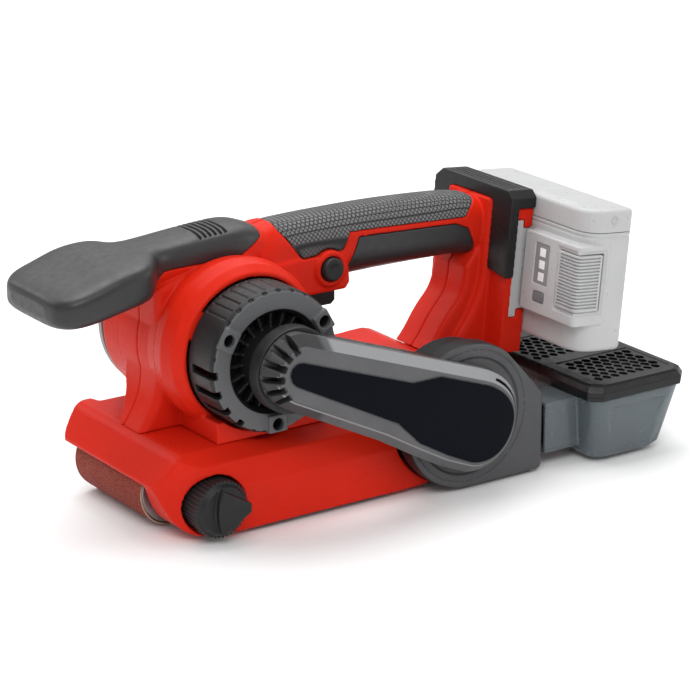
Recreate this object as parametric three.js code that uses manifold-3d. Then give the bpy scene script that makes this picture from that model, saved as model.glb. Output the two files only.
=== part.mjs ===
// Cordless handheld belt sander for a 75 x 457 mm abrasive belt.
// Units are millimetres. +X points to the rear (battery end), -Y to the machine's left side (belt drive
// side), +Z up. The origin is the centre of the flat working face of the abrasive belt.

import * as THREE from 'three';
import { mergeVertices } from 'three/addons/utils/BufferGeometryUtils.js';
import Module from 'manifold-3d';

const wasm = await Module();
wasm.setup();

// ---------------------------------------------------------------- driving dimensions

const GAP = 0.3;                 // clearance kept between neighbouring pieces
const WALL = 3;                  // moulded wall thickness

const BELT_WIDTH = 75;
const BELT_LENGTH = 457;
const BELT_THICK = 1;
const ROLLER_R = 20;             // radius of the belt's inner face round a roller
const AXLE_Z = ROLLER_R + BELT_THICK;
const ROLLER_X = (BELT_LENGTH - 2 * Math.PI * ROLLER_R) / 4;
const ROLLER_HALF = 37;          // half length of both rollers

const FRAME_RIGHT = 45;          // right side of the base frame
const APRON_RIGHT = 52;          // right end of the apron over the front roller
const FRAME_LEFT = -75;          // outer face of the left skirt
const FRAME_BACK_LEFT = -61.7;   // left side of the frame behind the skirt
const FRAME_FRONT = -105;
const FRAME_REAR = 126;
const DECK_Z = 51;
const BEARING_WALL = [-45, -42]; // wall between the belt and the gears

const MOTOR = { x: -34, z: 98 }; // transverse motor axis
const BARREL_R = 48;
const COVER_R = 42;
const COVER_RING_Y = -72;
const LAYSHAFT = { x: 88.5, z: 46 };
const LAYSHAFT_R = 4;
const FAN_COVER_R = 44;
const GEAR_Y = [-57, -47];
const GEAR_R = 17.6;
const PINION_R = 7.2;
const BELT_DRIVE_Y = [-99.5, -92];
const MOTOR_PULLEY_R = 9;
const DRIVE_PULLEY_R = 22;
const COVER_FACE_Y = -103.2;

const HANDLE_HALF = 18;
const POST_HALF = 17.4;
const DOCK = { x: 162, z: 72, lean: THREE.MathUtils.degToRad(5.5), near: -39, far: 36 };
const PACK = { near: -91, far: 30, front: 4.6, rear: 39.5, low: -2, high: 85 };
const PANEL = { near: -91.8, far: -41, front: -1.5, rear: 22, low: 15, high: 64 };
const RELEASE = { near: -92.2, far: -73.5, front: -1.9, rear: 16.5, low: 24, high: 58.5, travel: 2 };
const LIGHTS = { near: -64, far: -51, low: 33.5, high: 58, size: 5, heights: [38, 45.5, 53] };
const CHARGE_BUTTON = { near: -62.5, far: -52.5, low: 22.5, high: 28.5 };
const SHOULDER_HALF = 22;

const BOX = { front: 172, rear: 242, near: -103, far: 22, low: 3, rim: 41, taper: 5 };
const LID_TOP = 51;
const KNOB = { x: -75, z: 20.5, r: 17, back: -60.3, face: -86 };
const LEVER = { x: 16, y: 40.5 };
const LOCK = { x: 37.5, z: 127.6, r: 7, bezel: 10.8 };

const RED = 0xd8321f;
const RED_DARK = 0xc42a1a;
const CHARCOAL = 0x3a3a3c;
const RUBBER = 0x2b2b2c;
const MID_GREY = 0x77787a;
const STEEL = 0xb4b6b8;

// ---------------------------------------------------------------- solids

/** Turns a closed geometry into a solid for adding, cutting and intersecting. */
function solid(geometry) {
  const bare = new THREE.BufferGeometry();
  bare.setAttribute('position', geometry.getAttribute('position').clone());
  if (geometry.index) bare.setIndex(geometry.index.clone());
  const welded = mergeVertices(bare, 1e-4);
  const kept = [];
  const index = welded.index.array;
  for (let i = 0; i < index.length; i += 3) {
    const [a, b, c] = [index[i], index[i + 1], index[i + 2]];
    if (a !== b && b !== c && a !== c) kept.push(a, b, c);
  }
  const vertProperties = Float32Array.from(welded.attributes.position.array);
  const triVerts = Uint32Array.from(kept);
  return new wasm.Manifold(new wasm.Mesh({ numProp: 3, vertProperties, triVerts }));
}

const join = (first, ...others) => others.reduce((sum, next) => sum.add(next), first);
const cut = (first, ...others) => others.reduce((rest, tool) => rest.subtract(tool), first);
const common = (first, ...others) => others.reduce((rest, next) => rest.intersect(next), first);

/** A shape from points [a, b]; an item that is a function draws its own stretch of the outline. */
function outline(points) {
  const shape = new THREE.Shape();
  points.forEach((point, i) => {
    if (typeof point === 'function') point(shape);
    else if (i === 0) shape.moveTo(point[0], point[1]);
    else shape.lineTo(point[0], point[1]);
  });
  shape.closePath();
  return shape;
}

/** Bevel settings for an extrusion: both ends are drawn in by `size` over `depth`. */
function bevelled(depth, size, curveSegments) {
  return { bevelEnabled: size > 0, bevelThickness: size, bevelSize: size, bevelOffset: -size,
    bevelSegments: 2, depth: depth - 2 * size, curveSegments };
}

/** An outline in X and Z carried along Y from low to high. */
function alongY(shape, low, high, bevel = 0, curveSegments = 10) {
  const geometry = new THREE.ExtrudeGeometry(shape, bevelled(high - low, bevel, curveSegments));
  return geometry.rotateX(Math.PI / 2).translate(0, high - bevel, 0);
}

/** An outline in X and Y carried along Z from low to high. */
function alongZ(shape, low, high, bevel = 0, curveSegments = 10) {
  const geometry = new THREE.ExtrudeGeometry(shape, bevelled(high - low, bevel, curveSegments));
  return geometry.translate(0, 0, low + bevel);
}

/** An outline in Y and Z carried along X from low to high. */
function alongX(shape, low, high, bevel = 0, curveSegments = 10) {
  const geometry = new THREE.ExtrudeGeometry(shape, bevelled(high - low, bevel, curveSegments));
  return geometry.rotateX(Math.PI / 2).rotateZ(Math.PI / 2).translate(low + bevel, 0, 0);
}

/** A block between two corners. */
function block([x0, x1], [y0, y1], [z0, z1]) {
  const geometry = new THREE.BoxGeometry(x1 - x0, y1 - y0, z1 - z0);
  return geometry.translate((x0 + x1) / 2, (y0 + y1) / 2, (z0 + z1) / 2);
}

/** A round bar on an axis that runs along Y. */
function rod(centre, radius, low, high, segments = 20) {
  const geometry = new THREE.CylinderGeometry(radius, radius, high - low, segments);
  return geometry.translate(centre.x, (low + high) / 2, centre.z);
}

/** A turned piece on an axis along Y, from its profile points [radius, y]. */
function turned(centre, profile, segments = 24) {
  const points = profile.map(([r, y]) => new THREE.Vector2(r, y));
  const area = profile.reduce((sum, [r, y], i) => {
    const [rn, yn] = profile[(i + 1) % profile.length];
    return sum + r * yn - rn * y;
  }, 0);
  if (area < 0) points.reverse();
  const closed = points[0].x > 0 || points[points.length - 1].x > 0;
  if (closed) points.push(points[0].clone());
  return new THREE.LatheGeometry(points, segments).translate(centre.x, 0, centre.z);
}

const ring = (centre, inner, outer, low, high, segments = 20) => turned(centre,
  [[inner, low], [outer, low], [outer, high], [inner, high]], segments);

/** A closed body through rounded sections {x, z, halfY, halfZ, y, power} stacked along X. */
function loft(stations, inset = 0, sides = 18, power = 2.6) {
  const positions = [];
  const index = [];
  for (const { x, y = 0, z, halfY, halfZ, power: own } of stations) {
    for (let i = 0; i < sides; i++) {
      const angle = (2 * Math.PI * i) / sides;
      const [c, s] = [Math.cos(angle), Math.sin(angle)];
      const bulge = (v) => Math.sign(v) * Math.abs(v) ** (2 / (own || power));
      positions.push(x, y + (halfY - inset) * bulge(c), z + (halfZ - inset) * bulge(s));
    }
  }
  for (let k = 0; k < stations.length - 1; k++) {
    for (let i = 0; i < sides; i++) {
      const [a, b] = [k * sides + i, k * sides + ((i + 1) % sides)];
      index.push(a, b, b + sides, a, b + sides, a + sides);
    }
  }
  const last = (stations.length - 1) * sides;
  for (let i = 1; i < sides - 1; i++) {
    index.push(0, i + 1, i);
    index.push(last, last + i, last + i + 1);
  }
  const geometry = new THREE.BufferGeometry();
  geometry.setAttribute('position', new THREE.Float32BufferAttribute(positions, 3));
  geometry.setIndex(index);
  return geometry;
}

/** A smooth row of sections between the given ones. */
function smooth(stations, count) {
  const keys = ['x', 'y', 'z', 'halfY', 'halfZ', 'power'];
  const read = (i, key) => stations[Math.min(Math.max(i, 0), stations.length - 1)][key] ?? 0;
  return Array.from({ length: count }, (_, n) => {
    const place = (n / (count - 1)) * (stations.length - 1);
    const i = Math.min(Math.floor(place), stations.length - 2);
    const t = place - i;
    const blend = (key) => {
      const [p, q, r, s] = [read(i - 1, key), read(i, key), read(i + 1, key), read(i + 2, key)];
      return q + 0.5 * t * (r - p + t * (2 * p - 5 * q + 4 * r - s + t * (3 * (q - r) + s - p)));
    };
    return Object.fromEntries(keys.map((key) => [key, blend(key)]));
  });
}

/** Leans a geometry drawn in the dock's own frame into its place. */
function leaning(geometry) {
  return geometry.rotateY(DOCK.lean).translate(DOCK.x, 0, DOCK.z);
}

// One tooth of each kind: share of a step, share of the depth.
const GEAR_TOOTH = [[0, 0], [0.18, 1], [0.32, 1], [0.5, 0]];
const PULLEY_TOOTH = [[0, 0], [0.25, 1]];

/** A toothed outline whose teeth are each centred a quarter of a step past their start. */
function toothed(radius, depth, teeth, tooth) {
  const points = [];
  for (let i = 0; i < teeth; i++) {
    const step = (2 * Math.PI) / teeth;
    for (const [share, rise] of tooth) {
      const r = radius - depth * (1 - rise);
      const angle = (i + share) * step;
      points.push([r * Math.cos(angle), r * Math.sin(angle)]);
    }
  }
  return outline(points);
}

// ---------------------------------------------------------------- scene

const sander = new THREE.Group();
const dock = new THREE.Group();
dock.position.set(DOCK.x, 0, DOCK.z);
dock.rotation.y = DOCK.lean;
sander.add(dock);

/** Puts a solid or a geometry into a group as a named mesh. */
function place(name, shape, color, roughness, metalness = 0, group = sander) {
  let geometry = shape;
  if (!shape.isBufferGeometry) {
    const { vertProperties, triVerts } = shape.getMesh();
    geometry = new THREE.BufferGeometry();
    geometry.setAttribute('position', new THREE.BufferAttribute(vertProperties, 3));
    geometry.setIndex(new THREE.BufferAttribute(triVerts, 1));
    geometry.computeVertexNormals();
  }
  const mesh = new THREE.Mesh(geometry, new THREE.MeshStandardMaterial({ color, roughness, metalness }));
  mesh.name = name;
  group.add(mesh);
}

// ---------------------------------------------------------------- abrasive belt, rollers and platen

/** The outline of the belt loop at a distance outside its inner face. */
function loopOutline(offset) {
  const r = ROLLER_R + offset;
  return outline([
    [-ROLLER_X, AXLE_Z - r],
    [ROLLER_X, AXLE_Z - r],
    (shape) => shape.absarc(ROLLER_X, AXLE_Z, r, -Math.PI / 2, Math.PI / 2, false),
    (shape) => shape.absarc(-ROLLER_X, AXLE_Z, r, Math.PI / 2, 1.5 * Math.PI, false),
  ]);
}

function addBelt() {
  const half = BELT_WIDTH / 2;
  const outside = solid(alongY(loopOutline(BELT_THICK), -half, half, 0, 12));
  const inside = solid(alongY(loopOutline(0), -half - 1, half + 1, 0, 12));
  place('sanding_belt', cut(outside, inside), 0x8c4a3c, 0.95);
}

function addPlaten() {
  const low = BELT_THICK + GAP;
  const side = [-BELT_WIDTH / 2 + 1, BELT_WIDTH / 2 - 1];
  place('platen_pad', block([-60, 60], side, [low, low + 1.2]), 0x2e2e30, 0.8);
  place('platen_plate', block([-60, 60], side, [low + 1.5, low + 3.3]), STEEL, 0.35, 0.9);
}

function addRollers() {
  const drive = { x: ROLLER_X, z: AXLE_Z };
  const front = { x: -ROLLER_X, z: AXLE_Z };
  const r = ROLLER_R - GAP;
  const shaftEnd = GEAR_Y[0] - 2;
  const core = turned(drive, [[0, shaftEnd], [4.5, shaftEnd], [4.5, -ROLLER_HALF],
    [r - 3, -ROLLER_HALF], [r - 3, ROLLER_HALF], [0, ROLLER_HALF]]);
  place('drive_roller', core, STEEL, 0.4, 0.9);
  place('drive_roller_sleeve', ring(drive, r - 3 + GAP, r, -ROLLER_HALF, ROLLER_HALF, 24), RUBBER, 0.85);
  place('drive_roller_bearing', ring(drive, 4.8, 10.7, BEARING_WALL[0], BEARING_WALL[1]), STEEL, 0.3, 0.9);
  place('front_roller', ring(front, 4.3, r, -ROLLER_HALF, ROLLER_HALF, 24), 0xc9cacc, 0.35, 0.8);
  place('front_axle', rod(front, 4, -40.6, 40.6, 20), STEEL, 0.3, 0.9);
}

// ---------------------------------------------------------------- frame

/** Plan outline of the base frame's upper shell, with its large curved corner in front of the knob. */
function framePlan() {
  return outline([
    [FRAME_FRONT, APRON_RIGHT - 7],
    [FRAME_FRONT, -46],
    (shape) => shape.bezierCurveTo(FRAME_FRONT, -62, -90, FRAME_LEFT + 4, -62, FRAME_LEFT),
    [70, FRAME_LEFT],
    [70, FRAME_BACK_LEFT],
    [FRAME_REAR, FRAME_BACK_LEFT],
    [FRAME_REAR, FRAME_RIGHT],
    [-82, FRAME_RIGHT],
    [-84, APRON_RIGHT],
    [-98, APRON_RIGHT],
    (shape) => shape.quadraticCurveTo(FRAME_FRONT, APRON_RIGHT, FRAME_FRONT, APRON_RIGHT - 7),
  ]);
}

/** Side outline of the base frame: sloping apron, deck, drive end hump and the skirt's swept lower edge. */
function frameSide() {
  return outline([
    [FRAME_FRONT, 31],
    [-96, 47],
    [-88, DECK_Z],
    [58, DECK_Z],
    [78, 61],
    [104, 62],
    [120, 54],
    [FRAME_REAR, 44],
    [FRAME_REAR, 12],
    [108, 5],
    [52, 3],
    [-80, 3],
    (shape) => shape.bezierCurveTo(-92, 3, -99, 12, -103, 26),
  ]);
}

/** Front outline of the base frame: the left edge of the deck slopes down to the skirt. */
function frameFront() {
  return outline([
    [APRON_RIGHT, 0],
    [APRON_RIGHT, 58],
    [APRON_RIGHT - 8, 66],
    [-52, 66],
    [-60, DECK_Z],
    [-70, 44],
    [FRAME_LEFT, 30],
    [FRAME_LEFT, 0],
  ]);
}

function addBaseFrame() {
  const body = common(
    solid(alongZ(framePlan(), 0, 70)),
    solid(alongY(frameSide(), FRAME_LEFT - 1, APRON_RIGHT + 1)),
    solid(alongX(frameFront(), FRAME_FRONT - 1, FRAME_REAR + 1)),
  );
  const drive = { x: ROLLER_X, z: AXLE_Z };
  const beltSpace = join(
    solid(alongY(loopOutline(BELT_THICK + 1.8), BEARING_WALL[1], APRON_RIGHT + 2)),
    solid(block([-ROLLER_X - 18, ROLLER_X + 24], [BEARING_WALL[1], APRON_RIGHT + 2], [0, AXLE_Z])),
    solid(block([FRAME_FRONT - 1, -ROLLER_X], [BEARING_WALL[1], APRON_RIGHT + 2], [0, 27])),
  );
  const skirtInside = FRAME_LEFT + WALL;
  const skirtSpace = solid(alongX(outline([[skirtInside, -1], [skirtInside, 28], [skirtInside + 4.1, 41],
    [BEARING_WALL[0], 41], [BEARING_WALL[0], -1]]), -50, 44));
  const gearSpace = join(
    solid(rod(drive, GEAR_R + 2, FRAME_BACK_LEFT - 1, BEARING_WALL[0], 36)),
    solid(rod(LAYSHAFT, PINION_R + 4, FRAME_BACK_LEFT - 1, BEARING_WALL[0])),
  );
  const humpSpace = solid(block([72, 108], [BEARING_WALL[1], FRAME_RIGHT - WALL], [40, 55]));
  const frame = cut(body, beltSpace, skirtSpace, gearSpace, humpSpace,
    solid(rod(drive, 11, BEARING_WALL[0] - 1, BEARING_WALL[1] + 1)),
    solid(rod(KNOB, KNOB.r + 1.2, FRAME_LEFT - 5, KNOB.back + GAP, 36)),
    solid(rod(KNOB, 4.6, FRAME_LEFT, BEARING_WALL[1] + 1, 20)),
    solid(rod(LAYSHAFT, FAN_COVER_R + GAP, FRAME_LEFT - 2, FRAME_BACK_LEFT, 32)),
    solid(rod(MOTOR, BARREL_R + GAP, -64, FRAME_RIGHT + 1, 32)));
  place('base_frame', frame, RED_DARK, 0.42);
}

/** The alloy frame inside the belt loop: it carries the platen, the roller fork and the release lever. */
function addInnerFrame() {
  const axle = { x: ROLLER_X, z: AXLE_Z };
  const plateSide = outline([[-50, 8], [-50, 38], [92, 38], [101, 30], [101, 14], [92, 8]]);
  const plate = solid(alongY(plateSide, -41.6, -39.2));
  const bridge = solid(block([-52, 58], [-40, 36], [5.2, 38]));
  const hollow = solid(block([-49, 55], [-36, 37], [8.2, 35]));
  const springSeat = solid(block([-10, -7], [-12, 12], [6, 36]));
  const lug = (low, high) => {
    const ear = solid(block([LEVER.x - 7, LEVER.x + 7], [30, 45], [low, high]));
    return cut(ear, solid(pillar(LEVER, 2.8, low - 1, high + 1, 20)));
  };
  const frame = cut(join(plate, bridge),
    hollow,
    solid(block([-53, -48], [-8, 8], [14, 28])),
    solid(block([-53, -48], [30, 37], [17, 25])),
    solid(rod(axle, 6, -43, -38)),
    solid(rod(axle, ROLLER_R + 1.5, -39.2, 40, 36)));
  place('inner_frame', join(frame, springSeat, lug(5.2, 8.2), lug(35, 38)), 0x9c9ea0, 0.5, 0.7);
}

/** The sliding fork that holds the front roller and is pushed forward by the tension spring. */
function addRollerFork() {
  const arm = (low, high) => solid(block([-ROLLER_X - 7, -58], [low, high], [AXLE_Z - 7, AXLE_Z + 7]));
  const axleHole = solid(rod({ x: -ROLLER_X, z: AXLE_Z }, 4.3, -45, 45, 24));
  const fork = join(arm(-40.3, -37.8), arm(37.8, 40.3),
    solid(block([-61.5, -58], [-40.3, 40.3], [AXLE_Z - 7, AXLE_Z + 7])),
    solid(block([-58.5, -30], [-7, 7], [AXLE_Z - 6, AXLE_Z + 6])),
    solid(block([-58.5, 6], [31, 35], [AXLE_Z - 3, AXLE_Z + 3])));
  place('roller_fork', cut(fork, axleHole), 0x8f9193, 0.5, 0.8);
  place('tension_spring', springBetween(-29.7, -10.3, 4.6, 0.9, 4), STEEL, 0.35, 0.9);
}

/** A compression spring along X, with its wire drawn as an extruded section. */
function springBetween(start, end, radius, wire, turns) {
  const steps = turns * 8;
  const points = Array.from({ length: steps + 1 }, (_, i) => {
    const share = i / steps;
    const angle = share * turns * 2 * Math.PI;
    const x = start + wire + (end - start - 2 * wire) * share;
    return new THREE.Vector3(x, radius * Math.cos(angle), AXLE_Z + radius * Math.sin(angle));
  });
  const section = new THREE.Shape().absarc(0, 0, wire, 0, 2 * Math.PI, false);
  const path = new THREE.CatmullRomCurve3(points);
  const settings = { steps, curveSegments: 2, bevelEnabled: false, extrudePath: path };
  return solid(new THREE.ExtrudeGeometry(section, settings));
}

/** A round bar on an upright axis. */
function pillar(centre, radius, low, high, segments = 24) {
  const geometry = new THREE.CylinderGeometry(radius, radius, high - low, segments);
  return geometry.rotateX(Math.PI / 2).translate(centre.x, centre.y, (low + high) / 2);
}

function addReleaseLever() {
  const handle = outline([[LEVER.x, 13], [LEVER.x + 40, 14], [LEVER.x + 46, 19], [LEVER.x + 46, 26],
    [LEVER.x + 40, 29], [LEVER.x, 29]]);
  const arm = solid(alongY(handle, LEVER.y - 2.2, LEVER.y + 2.2, 0.8));
  const lever = join(arm, solid(pillar(LEVER, 5.5, 8.6, 34.6)));
  place('release_lever', cut(lever, solid(pillar(LEVER, 2.8, 8, 36, 20))), 0x2a2a2b, 0.6);
  place('lever_pin', pillar(LEVER, 2.5, 5.3, 37.9, 20), STEEL, 0.3, 0.9);
}

function addTrackingKnob() {
  const ribs = 24;
  const side = outline(Array.from({ length: 2 * ribs }, (_, i) => {
    const radius = KNOB.r - (i % 2 ? 0.7 : 0);
    const angle = (i * Math.PI) / ribs;
    return [KNOB.x + radius * Math.cos(angle), KNOB.z + radius * Math.sin(angle)];
  }));
  const barrel = solid(alongY(side, KNOB.face + 8, KNOB.back));
  const crown = solid(turned(KNOB, [[0, KNOB.face + 5], [KNOB.r - 3, KNOB.face + 5],
    [KNOB.r - 0.6, KNOB.face + 8.5], [0, KNOB.face + 8.5]]));
  const grip = outline([
    [KNOB.x - 3, KNOB.z + 13.6],
    [KNOB.x + 15.6, KNOB.z + 2.6],
    [KNOB.x + 15.6, KNOB.z - 2.6],
    [KNOB.x - 3, KNOB.z - 13.6],
    (shape) => shape.quadraticCurveTo(KNOB.x - 9, KNOB.z, KNOB.x - 3, KNOB.z + 13.6),
  ]);
  const face = solid(alongY(grip, KNOB.face, KNOB.face + 6, 1.2));
  const socket = solid(rod(KNOB, 4.1, KNOB.back - 9, KNOB.back + 1, 20));
  place('tracking_knob', cut(join(barrel, crown, face), socket), RUBBER, 0.7);
  place('tracking_screw', rod(KNOB, 3.8, KNOB.back - 8.6, -42.5, 20), STEEL, 0.3, 0.9);
}

// ---------------------------------------------------------------- housing

/** The D handle's upper bar. */
function handleBar(inset = 0, from = -8, to = 154) {
  const sections = smooth([
    { x: -8, z: 135, halfY: 17, halfZ: 21 },
    { x: 12, z: 137.6, halfY: HANDLE_HALF, halfZ: 20 },
    { x: 45, z: 137.8, halfY: HANDLE_HALF, halfZ: 20.4 },
    { x: 80, z: 137.8, halfY: HANDLE_HALF - 0.5, halfZ: 20.2 },
    { x: 115, z: 136.8, halfY: HANDLE_HALF - 0.5, halfZ: 19.6 },
    { x: 138, z: 135.4, halfY: HANDLE_HALF, halfZ: 19 },
    { x: 154, z: 132, halfY: HANDLE_HALF, halfZ: 19 },
  ], 8);
  const bar = solid(loft(sections, inset));
  return common(bar, solid(block([from, to], [-60, 60], [60, 200])));
}

/** The D handle's rear post, which runs down to the base. */
function rearPost(half) {
  const side = outline([
    [100, 50],
    [110, 61],
    (shape) => shape.bezierCurveTo(118, 68, 120, 76, 130, 86),
    (shape) => shape.bezierCurveTo(137, 93, 138, 100, 139, 110),
    [150, 124],
    [166, 124],
    [164, 50],
  ]);
  return solid(alongY(side, -half, half, 3));
}

/** The wider body between the rear post and the battery dock. */
function rearShoulder(half) {
  const side = outline([
    [118, 50],
    [132, 72],
    (shape) => shape.bezierCurveTo(142, 84, 148, 96, 149, 112),
    [153, 152],
    [168, 152],
    [162, 60],
    [150, 50],
  ]);
  return solid(alongY(side, -half, half, 4));
}

/** The motor barrel, optionally grown, with the flared rim that meets the end cover. */
function barrel(grow = 0) {
  const profile = [[0, -46], [45, -46], [49, -40], [50.5, -30], [BARREL_R, -12], [BARREL_R, 38],
    [45, 44], [0, 44]];
  const grown = profile.map(([r, y]) => [r > 0 ? r + grow : 0, y + Math.sign(y) * grow]);
  return solid(turned(MOTOR, grown, 32));
}

/** The front handle's rounded shape: a wide palm rest with a neck that runs back over the motor. */
function frontHandleShape(inset = 0) {
  return solid(loft(smooth([
    { x: -150.5, z: 133.5, halfY: 20, halfZ: 4, power: 4 },
    { x: -148.5, z: 133.5, halfY: 29, halfZ: 8, power: 4.5 },
    { x: -141, z: 134.5, halfY: 36.5, halfZ: 10.5, power: 4.5 },
    { x: -128, z: 137, halfY: 39, halfZ: 12, power: 4.5 },
    { x: -112, y: -0.5, z: 141.2, halfY: 39, halfZ: 13, power: 4.5 },
    { x: -98, y: -3, z: 144, halfY: 36, halfZ: 12.8, power: 4.5 },
    { x: -91, y: -7, z: 145, halfY: 29, halfZ: 12.4, power: 4 },
    { x: -85, y: -5, z: 145.6, halfY: 24, halfZ: 12, power: 3.6 },
    { x: -79, y: -1.7, z: 146, halfY: 19.8, halfZ: 12, power: 3.2 },
    { x: -70, z: 146.6, halfY: 18.5, halfZ: 12, power: 3 },
    { x: -54, z: 147.5, halfY: 19, halfZ: 12.7, power: 2.8 },
    { x: -36, z: 148.5, halfY: 19.5, halfZ: 13, power: 2.8 },
    { x: -18, z: 148.5, halfY: 19.5, halfZ: 13, power: 2.8 },
    { x: -4, z: 146, halfY: 17, halfZ: 11, power: 2.6 },
  ], 22), inset, 22));
}

/** Everything above the seam between the neck and the red housing. */
function aboveNeckSeam(gap) {
  const side = outline([[-160, 100 + gap], [-82 - gap, 100 + gap], [-82 - gap, 138 + gap], [-74, 144 + gap],
    [-24, 145 + gap], [-7 - gap, 154], [-7 - gap, 175], [-160, 175]]);
  return solid(alongY(side, -50, 50));
}

function addFrontHandle() {
  place('front_handle', common(frontHandleShape(), aboveNeckSeam(GAP)), RUBBER, 0.75);
}

/** Side outlines of the two soft grips on the handle. */
function topGripRegion(gap) {
  const side = outline([[6 - gap, 170], [6 - gap, 154], [20 - gap, 135.5 - gap], [49 + gap, 136.5 - gap],
    [54 + gap, 146.4 - gap], [138, 142.2 - gap], [142, 146], [149 + gap, 151], [149 + gap, 170]]);
  return solid(alongY(side, -30, 30));
}

function underGripRegion(gap) {
  const side = outline([[53 - gap, 124], [60.5 - gap, 142.2 + gap], [131, 138.8 + gap], [140 + gap, 135],
    [146 + gap, 122], [146 + gap, 106 - gap], [100, 105], [53 - gap, 105]]);
  return solid(alongY(side, -30, 30));
}

const GRIP_THICK = 2.6;

function addGrips() {
  const skin = cut(handleBar(0), handleBar(GRIP_THICK));
  const bezelRoom = solid(rod(LOCK, LOCK.bezel + GAP, -30, -10, 28));
  place('top_grip', cut(common(skin, topGripRegion(0)), bezelRoom), CHARCOAL, 0.85);
  const lower = cut(common(handleBar(0), underGripRegion(0)), handleBar(GRIP_THICK), rearPost(POST_HALF + 2));
  place('under_grip', lower, RUBBER, 0.55);
}

/** The T slot for the battery's rail and the seat of the terminal block, cut into the dock. */
function dockSlots() {
  const slot = solid(leaning(block([-7.5, -1.5], [DOCK.near - 1, 30.3], [8, 69])));
  const mouth = solid(leaning(block([-2, 9], [DOCK.near - 1, 30.3], [13, 64])));
  const terminalSeat = solid(leaning(block([-11, -7], [-12, 25], [26, 52])));
  return join(slot, mouth, terminalSeat);
}

/** Every red volume of the two housing shells, before it is hollowed and split. */
function housingShape() {
  const columnSide = solid(alongY(outline([
    [-94, 46],
    [-92, 51.5],
    (shape) => shape.bezierCurveTo(-86, 60, -80, 68, -80, 82),
    [-80, 134],
    [-60, 141],
    [-30, 141],
    [-30, 46],
  ]), -20, 20, 2));
  const columnFront = solid(alongX(outline([[-21, 40], [-21, 150], [21, 150], [21, 82], [5, 51], [5, 40]]),
    -100, -20));
  const column = common(columnSide, columnFront);
  const neckRoom = solid(block([-81, -2], [-40, 40], [100, 170]));
  const neck = cut(common(frontHandleShape(), neckRoom), aboveNeckSeam(0));
  const collar = solid(loft(smooth([
    { x: -9, z: 138, halfY: 18.5, halfZ: 17 },
    { x: 0, z: 138, halfY: 19, halfZ: 19.5 },
    { x: 12, z: 137.6, halfY: HANDLE_HALF, halfZ: 20 },
  ], 4)));
  const switchSide = outline([[-6, 108], [-2, 136], [44, 137], [51, 131], [52, 117], [49, 113],
    [20, 113]]);
  const switchBody = solid(alongY(switchSide, -20.5, 20.5, 2));
  const saddle = cut(solid(block([-66, 10], [-60, 30], [46, 64])),
    solid(rod(MOTOR, COVER_R + 1.6, -76, -45, 32)));
  const dockBody = solid(leaning(block([-12, 4], [DOCK.near, DOCK.far], [-14, 76])));
  return join(barrel(), column, neck, collar, handleBar(), switchBody, saddle, rearPost(POST_HALF),
    rearShoulder(SHOULDER_HALF), dockBody);
}

/** The space inside the housing shells. */
function housingSpace() {
  return join(
    solid(turned(MOTOR, [[0, -50], [COVER_R - 1, -50], [COVER_R + 3, -38], [COVER_R + 3, 38],
      [12, 38], [12, 45], [0, 45]], 40)),
    solid(block([-75, -50], [-15, 15], [88, 126])),
    solid(block([-20, 12], [-11, 11], [118, 146])),
    handleBar(5.8, 2, 147),
    solid(alongY(outline([[128, 62], [142, 88], [147, 118], [147, 128], [156, 128], [157, 62]]), -12, 12)),
  );
}

function addHousing() {
  const gripPockets = join(
    cut(topGripRegion(GAP), handleBar(GRIP_THICK + GAP)),
    cut(underGripRegion(GAP), handleBar(GRIP_THICK + GAP), rearPost(POST_HALF + 2 - GAP)),
  );
  const shells = cut(housingShape(),
    housingSpace(),
    dockSlots(),
    common(frontHandleShape(-GAP), aboveNeckSeam(0)),
    gripPockets,
    solid(alongY(frameSide(), FRAME_LEFT, FRAME_RIGHT + 5).translate(GAP, 0, GAP)),
    solid(block([21, 50.5], [-8, 8], [105, 124])),
    solid(rod(LOCK, LOCK.r + GAP, -30, -8)),
    solid(rod(MOTOR, COVER_R + GAP, -80, -45.7, 32)),
    solid(rod(LAYSHAFT, FAN_COVER_R + GAP, -95, -61.5, 32)));
  const bezel = solid(ring(LOCK, LOCK.r + 0.4, LOCK.bezel, -22.5, -17, 28));
  const bosses = screwSpots().map((spot) => {
    const screwHole = solid(rod(spot, 2.5, -50, -30, 8));
    return cut(solid(rod(spot, 9, -45.8, -32, 12)), screwHole);
  });
  const housing = join(shells, bezel, ...bosses);
  const farSide = block([-200, 300], [GAP / 2, 100], [0, 200]);
  const nearSide = block([-200, 300], [-100, -GAP / 2], [0, 200]);
  place('housing_left', common(housing, solid(nearSide)), RED, 0.38);
  place('housing_right', common(housing, solid(farSide)), RED, 0.38);
}

// ---------------------------------------------------------------- motor

const SCREW_ANGLES = [30, 150, 270].map((degrees) => THREE.MathUtils.degToRad(degrees));
const SCREW_CIRCLE = 36.5;

const screwSpots = () => SCREW_ANGLES.map((angle) => ({
  x: MOTOR.x + SCREW_CIRCLE * Math.cos(angle),
  z: MOTOR.z + SCREW_CIRCLE * Math.sin(angle),
}));

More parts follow.
